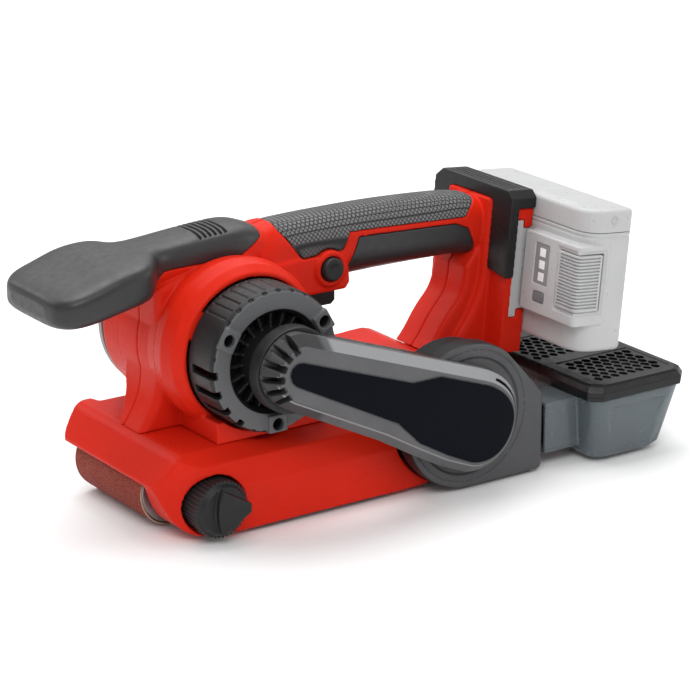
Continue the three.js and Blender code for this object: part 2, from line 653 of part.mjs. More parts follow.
function addMotorCovers() {
  const shell = solid(turned(MOTOR, [[10.4, -57], [31, -57], [31, -69], [39, -69], [39, -46.4],
    [COVER_R, -46.4], [COVER_R, -69], [COVER_R - 1.5, COVER_RING_Y], [30.5, COVER_RING_Y], [28, -68],
    [28, -60], [19, -60], [19, -82], [14, -82], [14, -62], [10.4, -62]], 28));
  const posts = screwSpots().map((spot) => solid(rod(spot, 5.2, -71, -46.4, 12)));
  const holes = screwSpots().map((spot) => solid(rod(spot, 3.6, -73, -46, 10)));
  place('motor_end_cover', cut(join(shell, ...posts), ...holes), MID_GREY, 0.6);
  screwSpots().forEach((spot, i) => {
    const head = solid(rod(spot, 3.2, -62, -58, 10));
    place(`cover_screw_${i + 1}`, join(head, solid(rod(spot, 2.2, -59, -35, 8))), 0x2c2c2e, 0.4, 0.8);
  });
  const cap = turned(MOTOR, [[0, 44.5], [46, 44.5], [46.5, 47], [44, 50], [0, 50]]);
  place('motor_far_cap', cap, 0xc9cbcb, 0.4);
}

/** A wheel of flat radial blades on a disc, with a bore. */
function bladedWheel(centre, radius, bore, [low, high], blades) {
  const disc = solid(rod(centre, radius, high - 1.6, high, 36));
  const hub = solid(rod(centre, bore + 4, low, high, 24));
  const vanes = Array.from({ length: blades }, (_, i) => {
    const vane = block([bore + 2, radius - 0.5], [low, high - 1], [-0.8, 0.8]);
    return solid(vane.rotateY((i * 2 * Math.PI) / blades).translate(centre.x, 0, centre.z));
  });
  return cut(join(disc, hub, ...vanes), solid(rod(centre, bore, low - 1, high + 1, 20)));
}

function addMotor() {
  place('motor_stator', ring(MOTOR, 18, 36, -10, 25), 0x6d6a66, 0.5, 0.6);
  place('motor_rotor', ring(MOTOR, 4.3, 17.3, -12, 27), 0x8a8c8e, 0.35, 0.8);
  place('motor_shaft', rod(MOTOR, 4, -100.6, 40, 20), STEEL, 0.25, 0.9);
  place('cooling_fan', bladedWheel(MOTOR, 29.5, 4.3, [-55, -47.5], 11), 0x1f1f20, 0.6);
  place('shaft_bearing_near', ring(MOTOR, 4.3, 10, -61.5, -57.3, 24), STEEL, 0.3, 0.9);
  place('shaft_bearing_far', ring(MOTOR, 4.3, 11.7, 38.4, 43.8, 24), STEEL, 0.3, 0.9);
}

// ---------------------------------------------------------------- toothed belt drive and gears

const PITCH = { gear: 17.085, pinion: 8.543, module: 1.22 };

/** The outline that runs round both pulleys at a distance from their rims. */
function driveLoop(offset) {
  const [small, large] = [MOTOR_PULLEY_R + offset, DRIVE_PULLEY_R + offset];
  const [dx, dz] = [LAYSHAFT.x - MOTOR.x, LAYSHAFT.z - MOTOR.z];
  const heading = Math.atan2(dz, dx);
  const spread = Math.acos((small - large) / Math.hypot(dx, dz));
  const edge = (centre, radius, angle) => [
    centre.x + radius * Math.cos(angle),
    centre.z + radius * Math.sin(angle),
  ];
  const largeStart = heading - Math.PI + spread;
  const largeEnd = heading + Math.PI - spread;
  return outline([
    edge(MOTOR, small, heading - spread),
    edge(LAYSHAFT, large, largeStart),
    (shape) => shape.absarc(LAYSHAFT.x, LAYSHAFT.z, large, largeStart, largeEnd, false),
    edge(MOTOR, small, heading + spread),
    (shape) => shape.absarc(MOTOR.x, MOTOR.z, small, heading + spread, heading + 2 * Math.PI - spread, false),
  ]);
}

/** A toothed wheel with a bore, with one tooth centred on the angle `phase`. */
function toothedWheel(centre, radius, depth, teeth, tooth, phase, bore, [low, high]) {
  const wheel = alongY(toothed(radius, depth, teeth, tooth), low, high);
  wheel.rotateY(-phase + (0.25 * 2 * Math.PI) / teeth).translate(centre.x, 0, centre.z);
  return cut(solid(wheel), solid(rod(centre, bore, low - 1, high + 1, 24)));
}

function addDriveTrain() {
  const roller = { x: ROLLER_X, z: AXLE_Z };
  const up = Math.atan2(LAYSHAFT.z - roller.z, LAYSHAFT.x - roller.x);
  const { gear, pinion, module } = PITCH;
  const depth = 1.8 * module;
  const rollerGear = toothedWheel(roller, gear + 0.8 * module, depth, 28, GEAR_TOOTH,
    up + Math.PI / 28, 4.8, GEAR_Y);
  place('roller_gear', rollerGear, 0x9a9c9e, 0.4, 0.8);
  const pinionWheel = toothedWheel(LAYSHAFT, pinion + 0.8 * module, depth, 14, GEAR_TOOTH,
    up + Math.PI, LAYSHAFT_R + GAP, GEAR_Y);
  place('pinion', pinionWheel, 0xa6a8aa, 0.35, 0.85);
  place('layshaft', rod(LAYSHAFT, LAYSHAFT_R, -100.6, -46.4, 20), STEEL, 0.25, 0.9);
  place('layshaft_bearing', ring(LAYSHAFT, LAYSHAFT_R + GAP, 8.7, -65, -62, 24), STEEL, 0.3, 0.9);
  const pulley = (centre, radius, teeth) => toothedWheel(centre, radius, 0.9, teeth, PULLEY_TOOTH,
    0, 4.3, BELT_DRIVE_Y);
  place('motor_pulley', pulley(MOTOR, MOTOR_PULLEY_R, 18), 0xa0a2a4, 0.4, 0.8);
  place('layshaft_pulley', pulley(LAYSHAFT, DRIVE_PULLEY_R, 44), 0x8c8e90, 0.45, 0.7);
  const loop = cut(solid(alongY(driveLoop(2.4), -98.6, -92.8)), solid(alongY(driveLoop(0.6), -99, -92)));
  place('toothed_belt', loop, 0x1c1c1d, 0.8);
}

/** Side outline of the drive cover: a narrow motor end that widens over the layshaft pulley. */
function driveCoverOutline() {
  return outline([
    [-32, 121],
    [92, 77],
    (shape) => shape.bezierCurveTo(111, 70, 119, 57, 117.5, 43),
    (shape) => shape.bezierCurveTo(115, 22, 98, 11, 80, 15.5),
    [62, 23],
    [42, 34],
    [18, 48],
    [-44, 79],
    (shape) => shape.bezierCurveTo(-60, 88, -62, 104, -52, 114),
    (shape) => shape.bezierCurveTo(-46, 121, -38, 123, -32, 121),
  ]);
}

/** The inlay plate follows the cover: narrow over the motor and wide over the pulley. */
function inlayOutline() {
  return outline([
    [-36, 106],
    [38, 80],
    [58, 80],
    [92, 68],
    (shape) => shape.bezierCurveTo(106, 62, 112, 52, 110, 42),
    (shape) => shape.bezierCurveTo(107, 28, 96, 19, 80, 23.5),
    [64, 31],
    [43, 43],
    [28, 58],
    [-40, 93],
    (shape) => shape.bezierCurveTo(-48, 98, -45, 108, -36, 106),
  ]);
}

function addDriveCover() {
  const split = -91.7;
  const shaped = solid(alongY(driveCoverOutline(), COVER_FACE_Y, -70, 6, 5));
  const outer = common(shaped, solid(block([-100, 200], [-120, split - GAP], [0, 200])));
  const foot = common(solid(alongY(driveCoverOutline(), -95, -90.3)),
    solid(rod(LAYSHAFT, 38, -96, -90.3, 40)));
  const room = solid(alongY(driveLoop(4.5), -101, -90));
  place('drive_cover', cut(join(outer, foot), room), MID_GREY, 0.5);

  const bar = common(solid(alongY(driveCoverOutline(), split, -84)),
    solid(block([-100, 62], [-100, 0], [0, 200])));
  const collar = solid(rod(MOTOR, 25, split, -82.3, 40));
  const back = cut(join(bar, collar), solid(rod(LAYSHAFT, FAN_COVER_R + 1, -100, -80, 32)),
    solid(rod(MOTOR, 8, -100, -80, 24)));
  place('drive_cover_back', back, CHARCOAL, 0.65);
  place('drive_cover_inlay', alongY(inlayOutline(), COVER_FACE_Y - 1.1, COVER_FACE_Y - GAP), 0x10141c, 0.3);
}

// ---------------------------------------------------------------- dust extraction

/** Outline of the fan housing: a round body drawn out to a square outlet corner at the rear. */
function fanOutline(radius) {
  const rear = LAYSHAFT.x + radius + 10.5;
  const low = LAYSHAFT.z - radius;
  const shoulder = THREE.MathUtils.degToRad(50);
  return outline([
    [LAYSHAFT.x, low],
    [rear - 4, low],
    [rear, low + 4],
    [rear, LAYSHAFT.z + 4],
    (shape) => shape.absarc(LAYSHAFT.x, LAYSHAFT.z, radius, shoulder, 1.5 * Math.PI, false),
  ]);
}

function addFanHousing() {
  const inside = FAN_COVER_R - 6;
  const shell = join(solid(alongY(fanOutline(FAN_COVER_R - 3), -77.7, -62, 0, 12)),
    solid(block([136, 157], [-77.4, -62.6], [11.8, 38.4])));
  const spaces = [
    solid(alongY(fanOutline(inside), -79, -65, 0, 12)),
    solid(block([130, 158], [-75.2, -65], [13.8, 36.4])),
    solid(rod(LAYSHAFT, 9, -70, -61, 24)),
    solid(rod({ x: 114, z: 24 }, 7, -70, -61, 20)),
  ];
  place('fan_housing', cut(shell, ...spaces), 0x2c2e2c, 0.6);

  const cover = solid(alongY(fanOutline(FAN_COVER_R), -90, -60, 2, 12));
  const coverSpaces = [
    solid(block([0, 200], [-78, -50], [-10, 120])),
    solid(alongY(fanOutline(inside + 3), -87, -70, 0, 12)),
    solid(turned(LAYSHAFT, [[0, -91], [37, -91], [35, -88.6], [0, -88.6]])),
    solid(rod(LAYSHAFT, 5, -92, -80, 24)),
  ];
  place('fan_cover', cut(cover, ...coverSpaces), 0x55565a, 0.55);
  place('dust_fan', bladedWheel(LAYSHAFT, 34, 4.3, [-76, -66.5], 9), 0x232324, 0.6);
}

/** A closed body through rounded rectangles {z, x: [from, to], y: [from, to]} stacked along Z. */
function tapered(sections, corner, steps = 4) {
  const positions = [];
  const index = [];
  const count = 4 * (steps + 1);
  for (const { z, x, y } of sections) {
    const middles = [[x[1] - corner, y[1] - corner], [x[0] + corner, y[1] - corner],
      [x[0] + corner, y[0] + corner], [x[1] - corner, y[0] + corner]];
    middles.forEach(([mx, my], quarter) => {
      for (let i = 0; i <= steps; i++) {
        const angle = (quarter + i / steps) * (Math.PI / 2);
        positions.push(mx + corner * Math.cos(angle), my + corner * Math.sin(angle), z);
      }
    });
  }
  for (let k = 0; k < sections.length - 1; k++) {
    for (let i = 0; i < count; i++) {
      const [a, b] = [k * count + i, k * count + ((i + 1) % count)];
      index.push(a, b, b + count, a, b + count, a + count);
    }
  }
  const last = (sections.length - 1) * count;
  for (let i = 1; i < count - 1; i++) {
    index.push(0, i + 1, i);
    index.push(last, last + i, last + i + 1);
  }
  const geometry = new THREE.BufferGeometry();
  geometry.setAttribute('position', new THREE.Float32BufferAttribute(positions, 3));
  geometry.setIndex(index);
  return geometry;
}

/** The dust box's cross section at a height, drawn in by `inset`. */
function boxSection(z, inset) {
  const lean = (BOX.taper / 2) * Math.min(1, (BOX.rim - z) / (BOX.rim - BOX.low));
  const inwards = (low, high) => [low + lean + inset, high - lean - inset];
  return { z, x: inwards(BOX.front, BOX.rear), y: inwards(BOX.near, BOX.far) };
}

function addDustBox() {
  const outer = solid(tapered([boxSection(BOX.low, 2), boxSection(BOX.low + 3, 0),
    boxSection(BOX.rim, 0)], 6));
  const inner = solid(tapered([boxSection(BOX.low + 2.4, 3.5), boxSection(BOX.rim + 1, 2.3)], 4.5));
  const sleeve = cut(solid(block([148, 178], [-86, -60], [9, 41])), inner);
  const passage = solid(block([147, 182], [-83.8, -62.2], [11.4, 38.8]));
  place('dust_box', cut(join(outer, sleeve), inner, passage), 0x5b6a72, 0.3);
}

const LID = { x: [BOX.front - 2.4, BOX.rear + 2.4], y: [BOX.near - 2.4, BOX.far + 2.4] };
const SLOT = { columns: 3, rows: 5, length: 15, width: 4.4, stepX: 19, stepY: 9 };

function addLid() {
  const shrink = ([low, high], by) => [low + by, high - by];
  const section = (z, inset) => ({ z, x: shrink(LID.x, inset), y: shrink(LID.y, inset) });
  const outer = solid(tapered([section(41.5, 0.4), section(46.5, 0), section(LID_TOP, 3)], 6));
  const under = solid(tapered([section(41, 2), section(BOX.rim + GAP, 2), section(48.6, 4.5)], 5));
  const slots = [];
  for (const startY of [BOX.near + 10, BOX.near + 67]) {
    for (let row = 0; row < SLOT.rows; row++) {
      for (let column = 0; column < SLOT.columns; column++) {
        const x = BOX.front + 7 + column * SLOT.stepX;
        const y = startY + row * SLOT.stepY;
        slots.push(solid(block([x, x + SLOT.length], [y, y + SLOT.width], [48, LID_TOP + 1])));
      }
    }
  }
  place('dust_box_lid', cut(outer, under, ...slots), 0x1d1e20, 0.5);
  const mat = (z) => ({ z, x: shrink([BOX.front, BOX.rear], 3.8), y: shrink([BOX.near, BOX.far], 3.8) });
  place('dust_filter', tapered([mat(42.4), mat(45)], 4), 0xb9b7ad, 0.95);
}

// ---------------------------------------------------------------- switch, dock and battery

function addSwitchGear() {
  const trigger = outline([[21.6, 118], [49.8, 118], [49.8, 103], [47, 100.6], [40, 100.6], [26, 106],
    [21.6, 110]]);
  place('trigger', alongY(trigger, -7.5, 7.5, 1.2), 0x232324, 0.6);
  const button = [[0, -25.2], [LOCK.r - 1.2, -25.2], [LOCK.r, -24], [LOCK.r, -13], [0, -13]];
  place('lock_on_button', turned(LOCK, button, 32), 0x242425, 0.6);
  place('switch_module', block([20, 47], [-7.5, 7.5], [126.5, 138]), 0x3c3c3e, 0.6);
  place('controller_board', block([135, 155], [-10, 10], [66, 68]), 0x1e4a32, 0.6);
}

function addDockPieces() {
  const [left, right] = [DOCK.near - 1.5, DOCK.far + 1.5];
  const crown = outline([[left, 76.3], [left, 83], [left + 4.5, 87], [right - 7, 87], [right, 81.5],
    [right, 76.3]]);
  const top = solid(leaning(alongX(crown, -14.5, 4.5, 0.8)));
  const front = solid(leaning(block([-14.5, -12.3], [left, right], [58, 78])));
  const wing = (inner, edge, side) => {
    const face = outline([[inner, 36.5], [edge, 33.5], [edge, 60], [inner, 60]]);
    const front = solid(leaning(alongX(face, -14.5, -12.3)));
    return join(front, solid(leaning(block([-14.5, -7.9], side, [33.5, 78]))));
  };
  const wings = [wing(20, right, [DOCK.far + GAP, right]), wing(-20, left, [left, DOCK.near - GAP])];
  const bumper = cut(join(top, front, ...wings), rearShoulder(SHOULDER_HALF + GAP), handleBar(-GAP, 0, 154));
  place('dock_bumper', bumper, CHARCOAL, 0.7);
  place('terminal_block', block([-10.7, -7.8], [-11.5, 24.5], [26.5, 51.5]), 0x303034, 0.5, 0, dock);
}

/** The battery's outer shape in the dock's leaning frame: a block with a well rounded near front edge. */
function packShape(inset = 0) {
  const [near, far] = [PACK.near + inset, PACK.far - inset];
  const [front, rear] = [PACK.front + inset, PACK.rear - inset];
  const plan = outline([
    [front, far],
    [front, near + 14],
    (shape) => shape.quadraticCurveTo(front + 1, near + 1, front + 14, near),
    [rear - 6, near],
    (shape) => shape.quadraticCurveTo(rear, near, rear, near + 6),
    [rear, far],
  ]);
  return solid(alongZ(plan, PACK.low + inset, PACK.high - inset, inset > 0 ? 0 : 2.5, 5));
}

/** A block whose upright near front corner is rounded, between the faces named in it. */
function cornered({ near, far, front, rear, low, high }) {
  const plan = outline([
    [front, far],
    [front, near + 4],
    (shape) => shape.quadraticCurveTo(front, near, front + 4, near),
    [rear, near],
    [rear, far],
  ]);
  return solid(alongZ(plan, low, high, 0, 5));
}

function addBattery() {
  const seam = 71;
  const above = solid(block([-20, 60], [-120, 60], [seam + GAP, 120]));
  const below = solid(block([-20, 60], [-120, 60], [-20, seam]));
  const hollow = packShape(2.6);
  const flange = solid(block([-7.1, -1.9], [-38, PACK.far], [8.4, 68.6]));
  const neck = solid(block([-2.5, PACK.front + 1], [-38, PACK.far], [13.4, 63.6]));
  const panelHollow = solid(block([PANEL.front + 2.6, PANEL.rear - 2.6], [PANEL.near + 2.6, PANEL.far - 3],
    [PANEL.low + 2.6, PANEL.high - 2.6]));
  const windowRecess = join(
    solid(block([-5, PANEL.front + 1], [-100, -71.5], [21.5, 61])),
    solid(block([-5, 20.5], [-100, PANEL.near + 1], [21.5, 61])),
  );
  const releaseHole = solid(block([-5, RELEASE.rear + RELEASE.travel + GAP], [-100, RELEASE.far + GAP],
    [RELEASE.low - GAP, RELEASE.high + GAP]));
  const lightSeat = solid(block([-5, PANEL.front + 1.3], [LIGHTS.near - GAP, LIGHTS.far + GAP],
    [LIGHTS.low - GAP, LIGHTS.high + GAP]));
  const chargeHole = solid(block([-5, 4], [CHARGE_BUTTON.near - GAP, CHARGE_BUTTON.far + GAP],
    [CHARGE_BUTTON.low - GAP, CHARGE_BUTTON.high + GAP]));
  const outside = join(common(packShape(), below), cornered(PANEL));
  const shell = join(cut(outside, hollow, panelHollow, windowRecess, releaseHole, lightSeat, chargeHole),
    flange, neck);
  place('battery_shell', shell, 0xcfd2d4, 0.45, 0, dock);
  place('battery_end_cap', cut(common(packShape(), above), hollow), 0xd8dadb, 0.45, 0, dock);
  const releaseInside = solid(block([RELEASE.front + 3.3, 40], [RELEASE.near + 3.3, -60], [0, 80]));
  place('battery_release_button', cut(cornered(RELEASE), releaseInside), 0xbfc2c4, 0.6, 0, dock);
  const lenses = LIGHTS.heights.map((z) => solid(block([PANEL.front, PANEL.front + 0.8],
    [-58 - LIGHTS.size / 2, -58 + LIGHTS.size / 2], [z - LIGHTS.size / 2, z + LIGHTS.size / 2])));
  const lightPlate = solid(block([PANEL.front + 0.4, PANEL.front + 1], [LIGHTS.near, LIGHTS.far],
    [LIGHTS.low, LIGHTS.high]));
  place('charge_light_panel', join(lightPlate, ...lenses), 0xb8bcc0, 0.4, 0, dock);
  const chargeButton = block([PANEL.front - 0.4, PANEL.front + 1.9], [CHARGE_BUTTON.near, CHARGE_BUTTON.far],
    [CHARGE_BUTTON.low, CHARGE_BUTTON.high]);
  place('charge_check_button', chargeButton, 0x8d9196, 0.6, 0, dock);

  const cells = Array.from({ length: 5 }, (_, i) => {
    const cell = new THREE.CylinderGeometry(9.1, 9.1, 66, 12).rotateX(Math.PI / 2);
    return solid(cell.translate(23.3, -70 + i * 19, 35));
  });
  const holder = solid(block([15, 31], [-72, 8], [30, 40]));
  place('battery_cells', join(holder, ...cells), 0x5d7f9a, 0.5, 0, dock);
}

addBelt();
addPlaten();
addRollers();
addBaseFrame();
addInnerFrame();
addRollerFork();
addReleaseLever();
addTrackingKnob();
addHousing();
addFrontHandle();
addGrips();
addMotorCovers();
addMotor();
addDriveTrain();
addDriveCover();
addFanHousing();
addDustBox();
addLid();
addSwitchGear();
addDockPieces();
addBattery();

export default sander;
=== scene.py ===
"""Looks of a cordless handheld belt sander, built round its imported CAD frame.

The scene is in metres. Shapes are worked out in millimetres in the frame's own axes (+X to the rear, -Y to
the machine's left, +Z up) and scaled when they become objects.
"""
import math

import bmesh
import bpy
from mathutils import Matrix, Vector


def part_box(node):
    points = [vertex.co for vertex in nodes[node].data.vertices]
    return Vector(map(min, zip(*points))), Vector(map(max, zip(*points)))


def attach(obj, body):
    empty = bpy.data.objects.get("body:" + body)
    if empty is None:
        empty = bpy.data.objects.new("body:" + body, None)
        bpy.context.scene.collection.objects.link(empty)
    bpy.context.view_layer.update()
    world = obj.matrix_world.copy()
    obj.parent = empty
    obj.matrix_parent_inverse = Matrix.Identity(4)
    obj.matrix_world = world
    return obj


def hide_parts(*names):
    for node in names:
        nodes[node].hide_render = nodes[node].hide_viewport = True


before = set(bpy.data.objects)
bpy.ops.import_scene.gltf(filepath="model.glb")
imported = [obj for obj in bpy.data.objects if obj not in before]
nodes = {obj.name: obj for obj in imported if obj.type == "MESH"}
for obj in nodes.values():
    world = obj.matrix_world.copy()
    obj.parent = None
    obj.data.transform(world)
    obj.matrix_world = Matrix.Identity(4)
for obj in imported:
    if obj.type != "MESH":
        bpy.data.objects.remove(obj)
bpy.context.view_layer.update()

MM = 0.001
PI = math.pi
GAP = 0.3  # left free between neighbouring pieces
COARSE = 1.0


# ---------------------------------------------------------------- places read from the frame

def low(node):
    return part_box(node)[0] / MM


def high(node):
    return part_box(node)[1] / MM


def middle(node):
    return (low(node) + high(node)) / 2


def axis_of(node):
    """The point (x, z) that an axis along Y passes through."""
    point = middle(node)
    return point.x, point.z


MOTOR = axis_of("motor_shaft")
LAYSHAFT = axis_of("layshaft")
DRIVE = axis_of("drive_roller_sleeve")
FRONT = axis_of("front_roller")
LOCK = axis_of("lock_on_button")
KNOB = axis_of("tracking_screw")
LEVER = (middle("lever_pin").x, middle("lever_pin").y)
KNOB_FACE = low("tracking_knob").y
KNOB_BACK = high("tracking_knob").y
DECK_Z = 51
FRAME_LEFT = low("base_frame").y
FRAME_FRONT = low("base_frame").x
FRAME_REAR = high("base_frame").x
APRON_RIGHT = high("base_frame").y
FRAME_RIGHT = 45
FRAME_BACK_LEFT = -61.7
BEARING_WALL = (-45, -42)
AXLE_Z = 21
ROLLER_R = 20
BARREL_R = 48
COVER_R = 42
FAN_COVER_R = 44
COVER_FACE = low("drive_cover").y
POST_HALF = 17.4
DOCK_LEAN = math.radians(5.5)
DOCK_AT = Vector((162, 0, 72))
DOCK_NEAR, DOCK_FAR = -39, 36
PACK = {"near": -91, "far": 30, "front": 4.6, "rear": 39.5, "low": -2, "high": 85}
PACK_SEAM = 71
PANEL = {"near": -91.8, "far": -41, "front": -1.5, "rear": 22, "low": 15, "high": 64}
RELEASE = {"near": -92.2, "far": -73.5, "front": -1.9, "rear": 16.5, "low": 24, "high": 58.5}
LIGHTS = {"near": -64, "far": -51, "low": 33.5, "high": 58, "size": 5, "heights": (38, 45.5, 53)}
CHARGE_BUTTON = {"near": -62.5, "far": -52.5, "low": 22.5, "high": 28.5}
SHOULDER_HALF = 22
BOX_LOW, BOX_HIGH = low("dust_box"), high("dust_box")
LID_LOW, LID_HIGH = low("dust_box_lid"), high("dust_box_lid")
WALL = 2.6  # of the handle's grips and the battery
SCREW_CIRCLE = 36.5
SCREW_ANGLES = (30, 150, 270)
SCREWS = [(MOTOR[0] + SCREW_CIRCLE * math.cos(math.radians(a)),
           MOTOR[1] + SCREW_CIRCLE * math.sin(math.radians(a))) for a in SCREW_ANGLES]


# ---------------------------------------------------------------- outlines

def path(*items, steps=14):
    """Points of a closed outline.

    ("c", ...) is a cubic stretch, ("q", ...) a quadratic one and ("arc", x, y, r, from, to) a circular one.
    """
    points = []
    for item in items:
        if not isinstance(item[0], str):
            points.append((float(item[0]), float(item[1])))
            continue
        kind, values = item[0], item[1:]
        if kind == "arc":
            x, y, r, start, end = values
            count = max(6, int(abs(end - start) / (2 * PI) * 120))
            points += [(x + r * math.cos(start + (end - start) * i / count),
                        y + r * math.sin(start + (end - start) * i / count)) for i in range(count + 1)]
            continue
        p0 = Vector(points[-1])
        controls = [p0] + [Vector(values[i:i + 2]) for i in range(0, len(values), 2)]
        for i in range(1, steps + 1):
            row, t = controls, i / steps
            while len(row) > 1:
                row = [a.lerp(b, t) for a, b in zip(row, row[1:])]
            points.append((row[0].x, row[0].y))
    kept = [p for i, p in enumerate(points) if (Vector(p) - Vector(points[i - 1])).length > 0.02]
    area = sum(kept[i - 1][0] * p[1] - p[0] * kept[i - 1][1] for i, p in enumerate(kept))
    return kept if area > 0 else kept[::-1]


def grown(points, distance):
    """An outline moved outwards by a distance."""
    moved = []
    for i, here in enumerate(points):
        a, p, b = Vector(points[i - 1]), Vector(here), Vector(points[(i + 1) % len(points)])
        first, second = (p - a).normalized(), (b - p).normalized()
        normal = Vector((first.y, -first.x))
        mitre = (normal + Vector((second.y, -second.x))).normalized()
        out = p + mitre * (distance / max(0.45, mitre.dot(normal)))
        moved.append((out.x, out.y))
    return moved


def rounded(points, radius, steps=5):
    """An outline with each corner rounded."""
    items = []
    for i, here in enumerate(points):
        p = Vector(here)
        before, after = Vector(points[i - 1]) - p, Vector(points[(i + 1) % len(points)]) - p
        reach = min(radius, before.length * 0.45, after.length * 0.45)
        start, end = p + before.normalized() * reach, p + after.normalized() * reach
        items += [(start.x, start.y), ("q", p.x, p.y, end.x, end.y)]
    return path(*items, steps=steps)


def oblong(cx, cy, length, width):
    """A slot's outline with round ends."""
    r, half = width / 2, (length - width) / 2
    points = []
    for side in (1, -1):
        for a in [PI * (i / 8 - side / 2) for i in range(9)]:
            points.append((cx + side * half + r * math.cos(a), cy + r * math.sin(a)))
    return points


# ---------------------------------------------------------------- solids, as mesh data in millimetres

TO_SPACE = {
    "x": lambda u, v, t: (t, u, v),
    "y": lambda u, v, t: (u, t, v),
    "z": lambda u, v, t: (u, v, t),
}


def mesh_of(verts, faces):
    mesh = bpy.data.meshes.new("work")
    mesh.from_pydata(verts, [], faces)
    bm = bmesh.new()
    bm.from_mesh(mesh)
    bmesh.ops.remove_doubles(bm, verts=bm.verts, dist=1e-4)
    bmesh.ops.dissolve_degenerate(bm, edges=bm.edges, dist=1e-5)
    bmesh.ops.recalc_face_normals(bm, faces=bm.faces)
    bm.to_mesh(mesh)
    bm.free()
    return mesh


def rings(sections, closed_ends=True):
    """A closed body through rings that all have the same number of points."""
    count = len(sections[0])
    verts = [p for section in sections for p in section]
    faces = []
    for k in range(len(sections) - 1):
        for i in range(count):
            a, b = k * count + i, k * count + (i + 1) % count
            faces.append((a, b, b + count, a + count))
    if closed_ends:
        faces += [tuple(range(count))[::-1], tuple(range((len(sections) - 1) * count, len(verts)))]
    return mesh_of(verts, faces)


def prism(axis, points, start, end, edge=(0, 0), chamfer=False):
    """An outline carried along an axis. edge is the rounding (or chamfer) at its low and its high end."""
    low_edge, high_edge = edge if isinstance(edge, tuple) else (edge, edge)
    steps = 1 if chamfer else 5

    def corner(size):
        return [(size * (1 - math.sin(k / steps * PI / 2)), size * (1 - math.cos(k / steps * PI / 2)))
                for k in range(steps + 1)]

    levels = [(inset, start + rise) for inset, rise in corner(low_edge)] if low_edge else [(0, start)]
    levels += [(inset, end - rise) for inset, rise in corner(high_edge)[::-1]] if high_edge else [(0, end)]
    sections = []
    for inset, t in levels:
        outline = grown(points, -inset) if inset else points
        sections.append([TO_SPACE[axis](u, v, t) for u, v in outline])
    return rings(sections)


def block(x, y, z, edge=0.0):
    corners = [(x[0], y[0]), (x[1], y[0]), (x[1], y[1]), (x[0], y[1])]
    if edge:
        return prism("z", rounded(corners, edge), z[0], z[1], edge)
    return prism("z", corners, z[0], z[1])


def lathe(centre, profile, segments=128):
    """A turned body on an axis along Y, from its closed profile of (radius, y)."""
    around = [2 * PI * i / segments for i in range(segments)]
    sections = []
    for r, y in profile:
        sections.append([(centre[0] + r * math.cos(a), y, centre[1] + r * math.sin(a)) for a in around])
    if profile[0][0] > 0 or profile[-1][0] > 0:
        sections.append(sections[0])
    return rings(sections, closed_ends=False)


def rod(centre, radius, start, end, segments=96):
    return lathe(centre, [(0, start), (radius, start), (radius, end), (0, end)], segments)


def tube(centre, inner, outer, start, end, segments=96):
    return lathe(centre, [(inner, start), (outer, start), (outer, end), (inner, end)], segments)


def pillar(centre, radius, start, end, segments=64):
    around = [2 * PI * i / segments for i in range(segments)]
    points = [(centre[0] + radius * math.cos(a), centre[1] + radius * math.sin(a)) for a in around]
    return prism("z", points, start, end)


def between(a, b, c, d, t):
    """A value on the smooth curve from b to c, with a before and d after them."""
    return b + 0.5 * t * (c - a + t * (2 * a - 5 * b + 4 * c - d + t * (3 * (b - c) + d - a)))


def smooth_stations(stations, count):
    """Sections (x, z, half width, half height) between the given ones, on a smooth curve.

    A section may go on with how square it is and how far it is shifted sideways.
    """
    usual = (2.6, 0.0)
    stations = [(*s, *usual[len(s) - 4:]) for s in stations]
    result = []
    for n in range(count):
        place = n / (count - 1) * (len(stations) - 1)
        i = min(int(place), len(stations) - 2)
        t = place - i
        p, q, r, s = (stations[min(max(k, 0), len(stations) - 1)] for k in (i - 1, i, i + 1, i + 2))
        result.append(tuple(between(*values, t) for values in zip(p, q, r, s)))
    return result


def loft(stations, inset=0.0):
    """A closed body through rounded sections."""
    sides = 96
    round_about = [(math.cos(2 * PI * i / sides), math.sin(2 * PI * i / sides)) for i in range(sides)]
    sections = []
    for x, z, half_y, half_z, power, shift in stations:
        ring = [[math.copysign(abs(v) ** (2 / power), v) for v in pair] for pair in round_about]
        sections.append([(x, shift + (half_y - inset) * c, z + (half_z - inset) * e) for c, e in ring])
    return rings(sections)


def moved(mesh, matrix):
    mesh.transform(matrix)
    return mesh


def turned_about(mesh, centre, angle):
    """A mesh turned about an axis along Y; a positive angle goes from +X towards +Z."""
    at = Matrix.Translation((centre[0], 0, centre[1]))
    return moved(mesh, at @ Matrix.Rotation(-angle, 4, "Y") @ at.inverted())


def leaning(mesh):
    """A mesh drawn in the dock's own frame, leant into its place."""
    return moved(mesh, Matrix.Translation(DOCK_AT) @ Matrix.Rotation(DOCK_LEAN, 4, "Y"))


def merged(meshes):
    """Several separate meshes as one, for cutting with all of them at once."""
    bm = bmesh.new()
    for mesh in meshes:
        bm.from_mesh(mesh)
    result = bpy.data.meshes.new("work")
    bm.to_mesh(result)
    bm.free()
    return result


def shown_mesh(obj):
    graph = bpy.context.evaluated_depsgraph_get()
    return bpy.data.meshes.new_from_object(obj.evaluated_get(graph))


def worked(mesh, add_modifiers):
    """The mesh after modifiers, with the helper object cleared away."""
    obj = bpy.data.objects.new("work", mesh)
    bpy.context.scene.collection.objects.link(obj)
    helpers = add_modifiers(obj) or []
    result = shown_mesh(obj)
    for helper in [obj, *helpers]:
        bpy.data.objects.remove(helper)
    return result


def combine(base, tools, how):
    def add(obj):
        helpers = []
        for tool in tools:
            helper = bpy.data.objects.new("tool", tool)
            bpy.context.scene.collection.objects.link(helper)
            modifier = obj.modifiers.new("boolean", "BOOLEAN")
            modifier.operation, modifier.object, modifier.solver = how, helper, "MANIFOLD"
            helpers.append(helper)
        return helpers
    return worked(base, add)


def join(base, *tools):
    return combine(base, tools, "UNION")


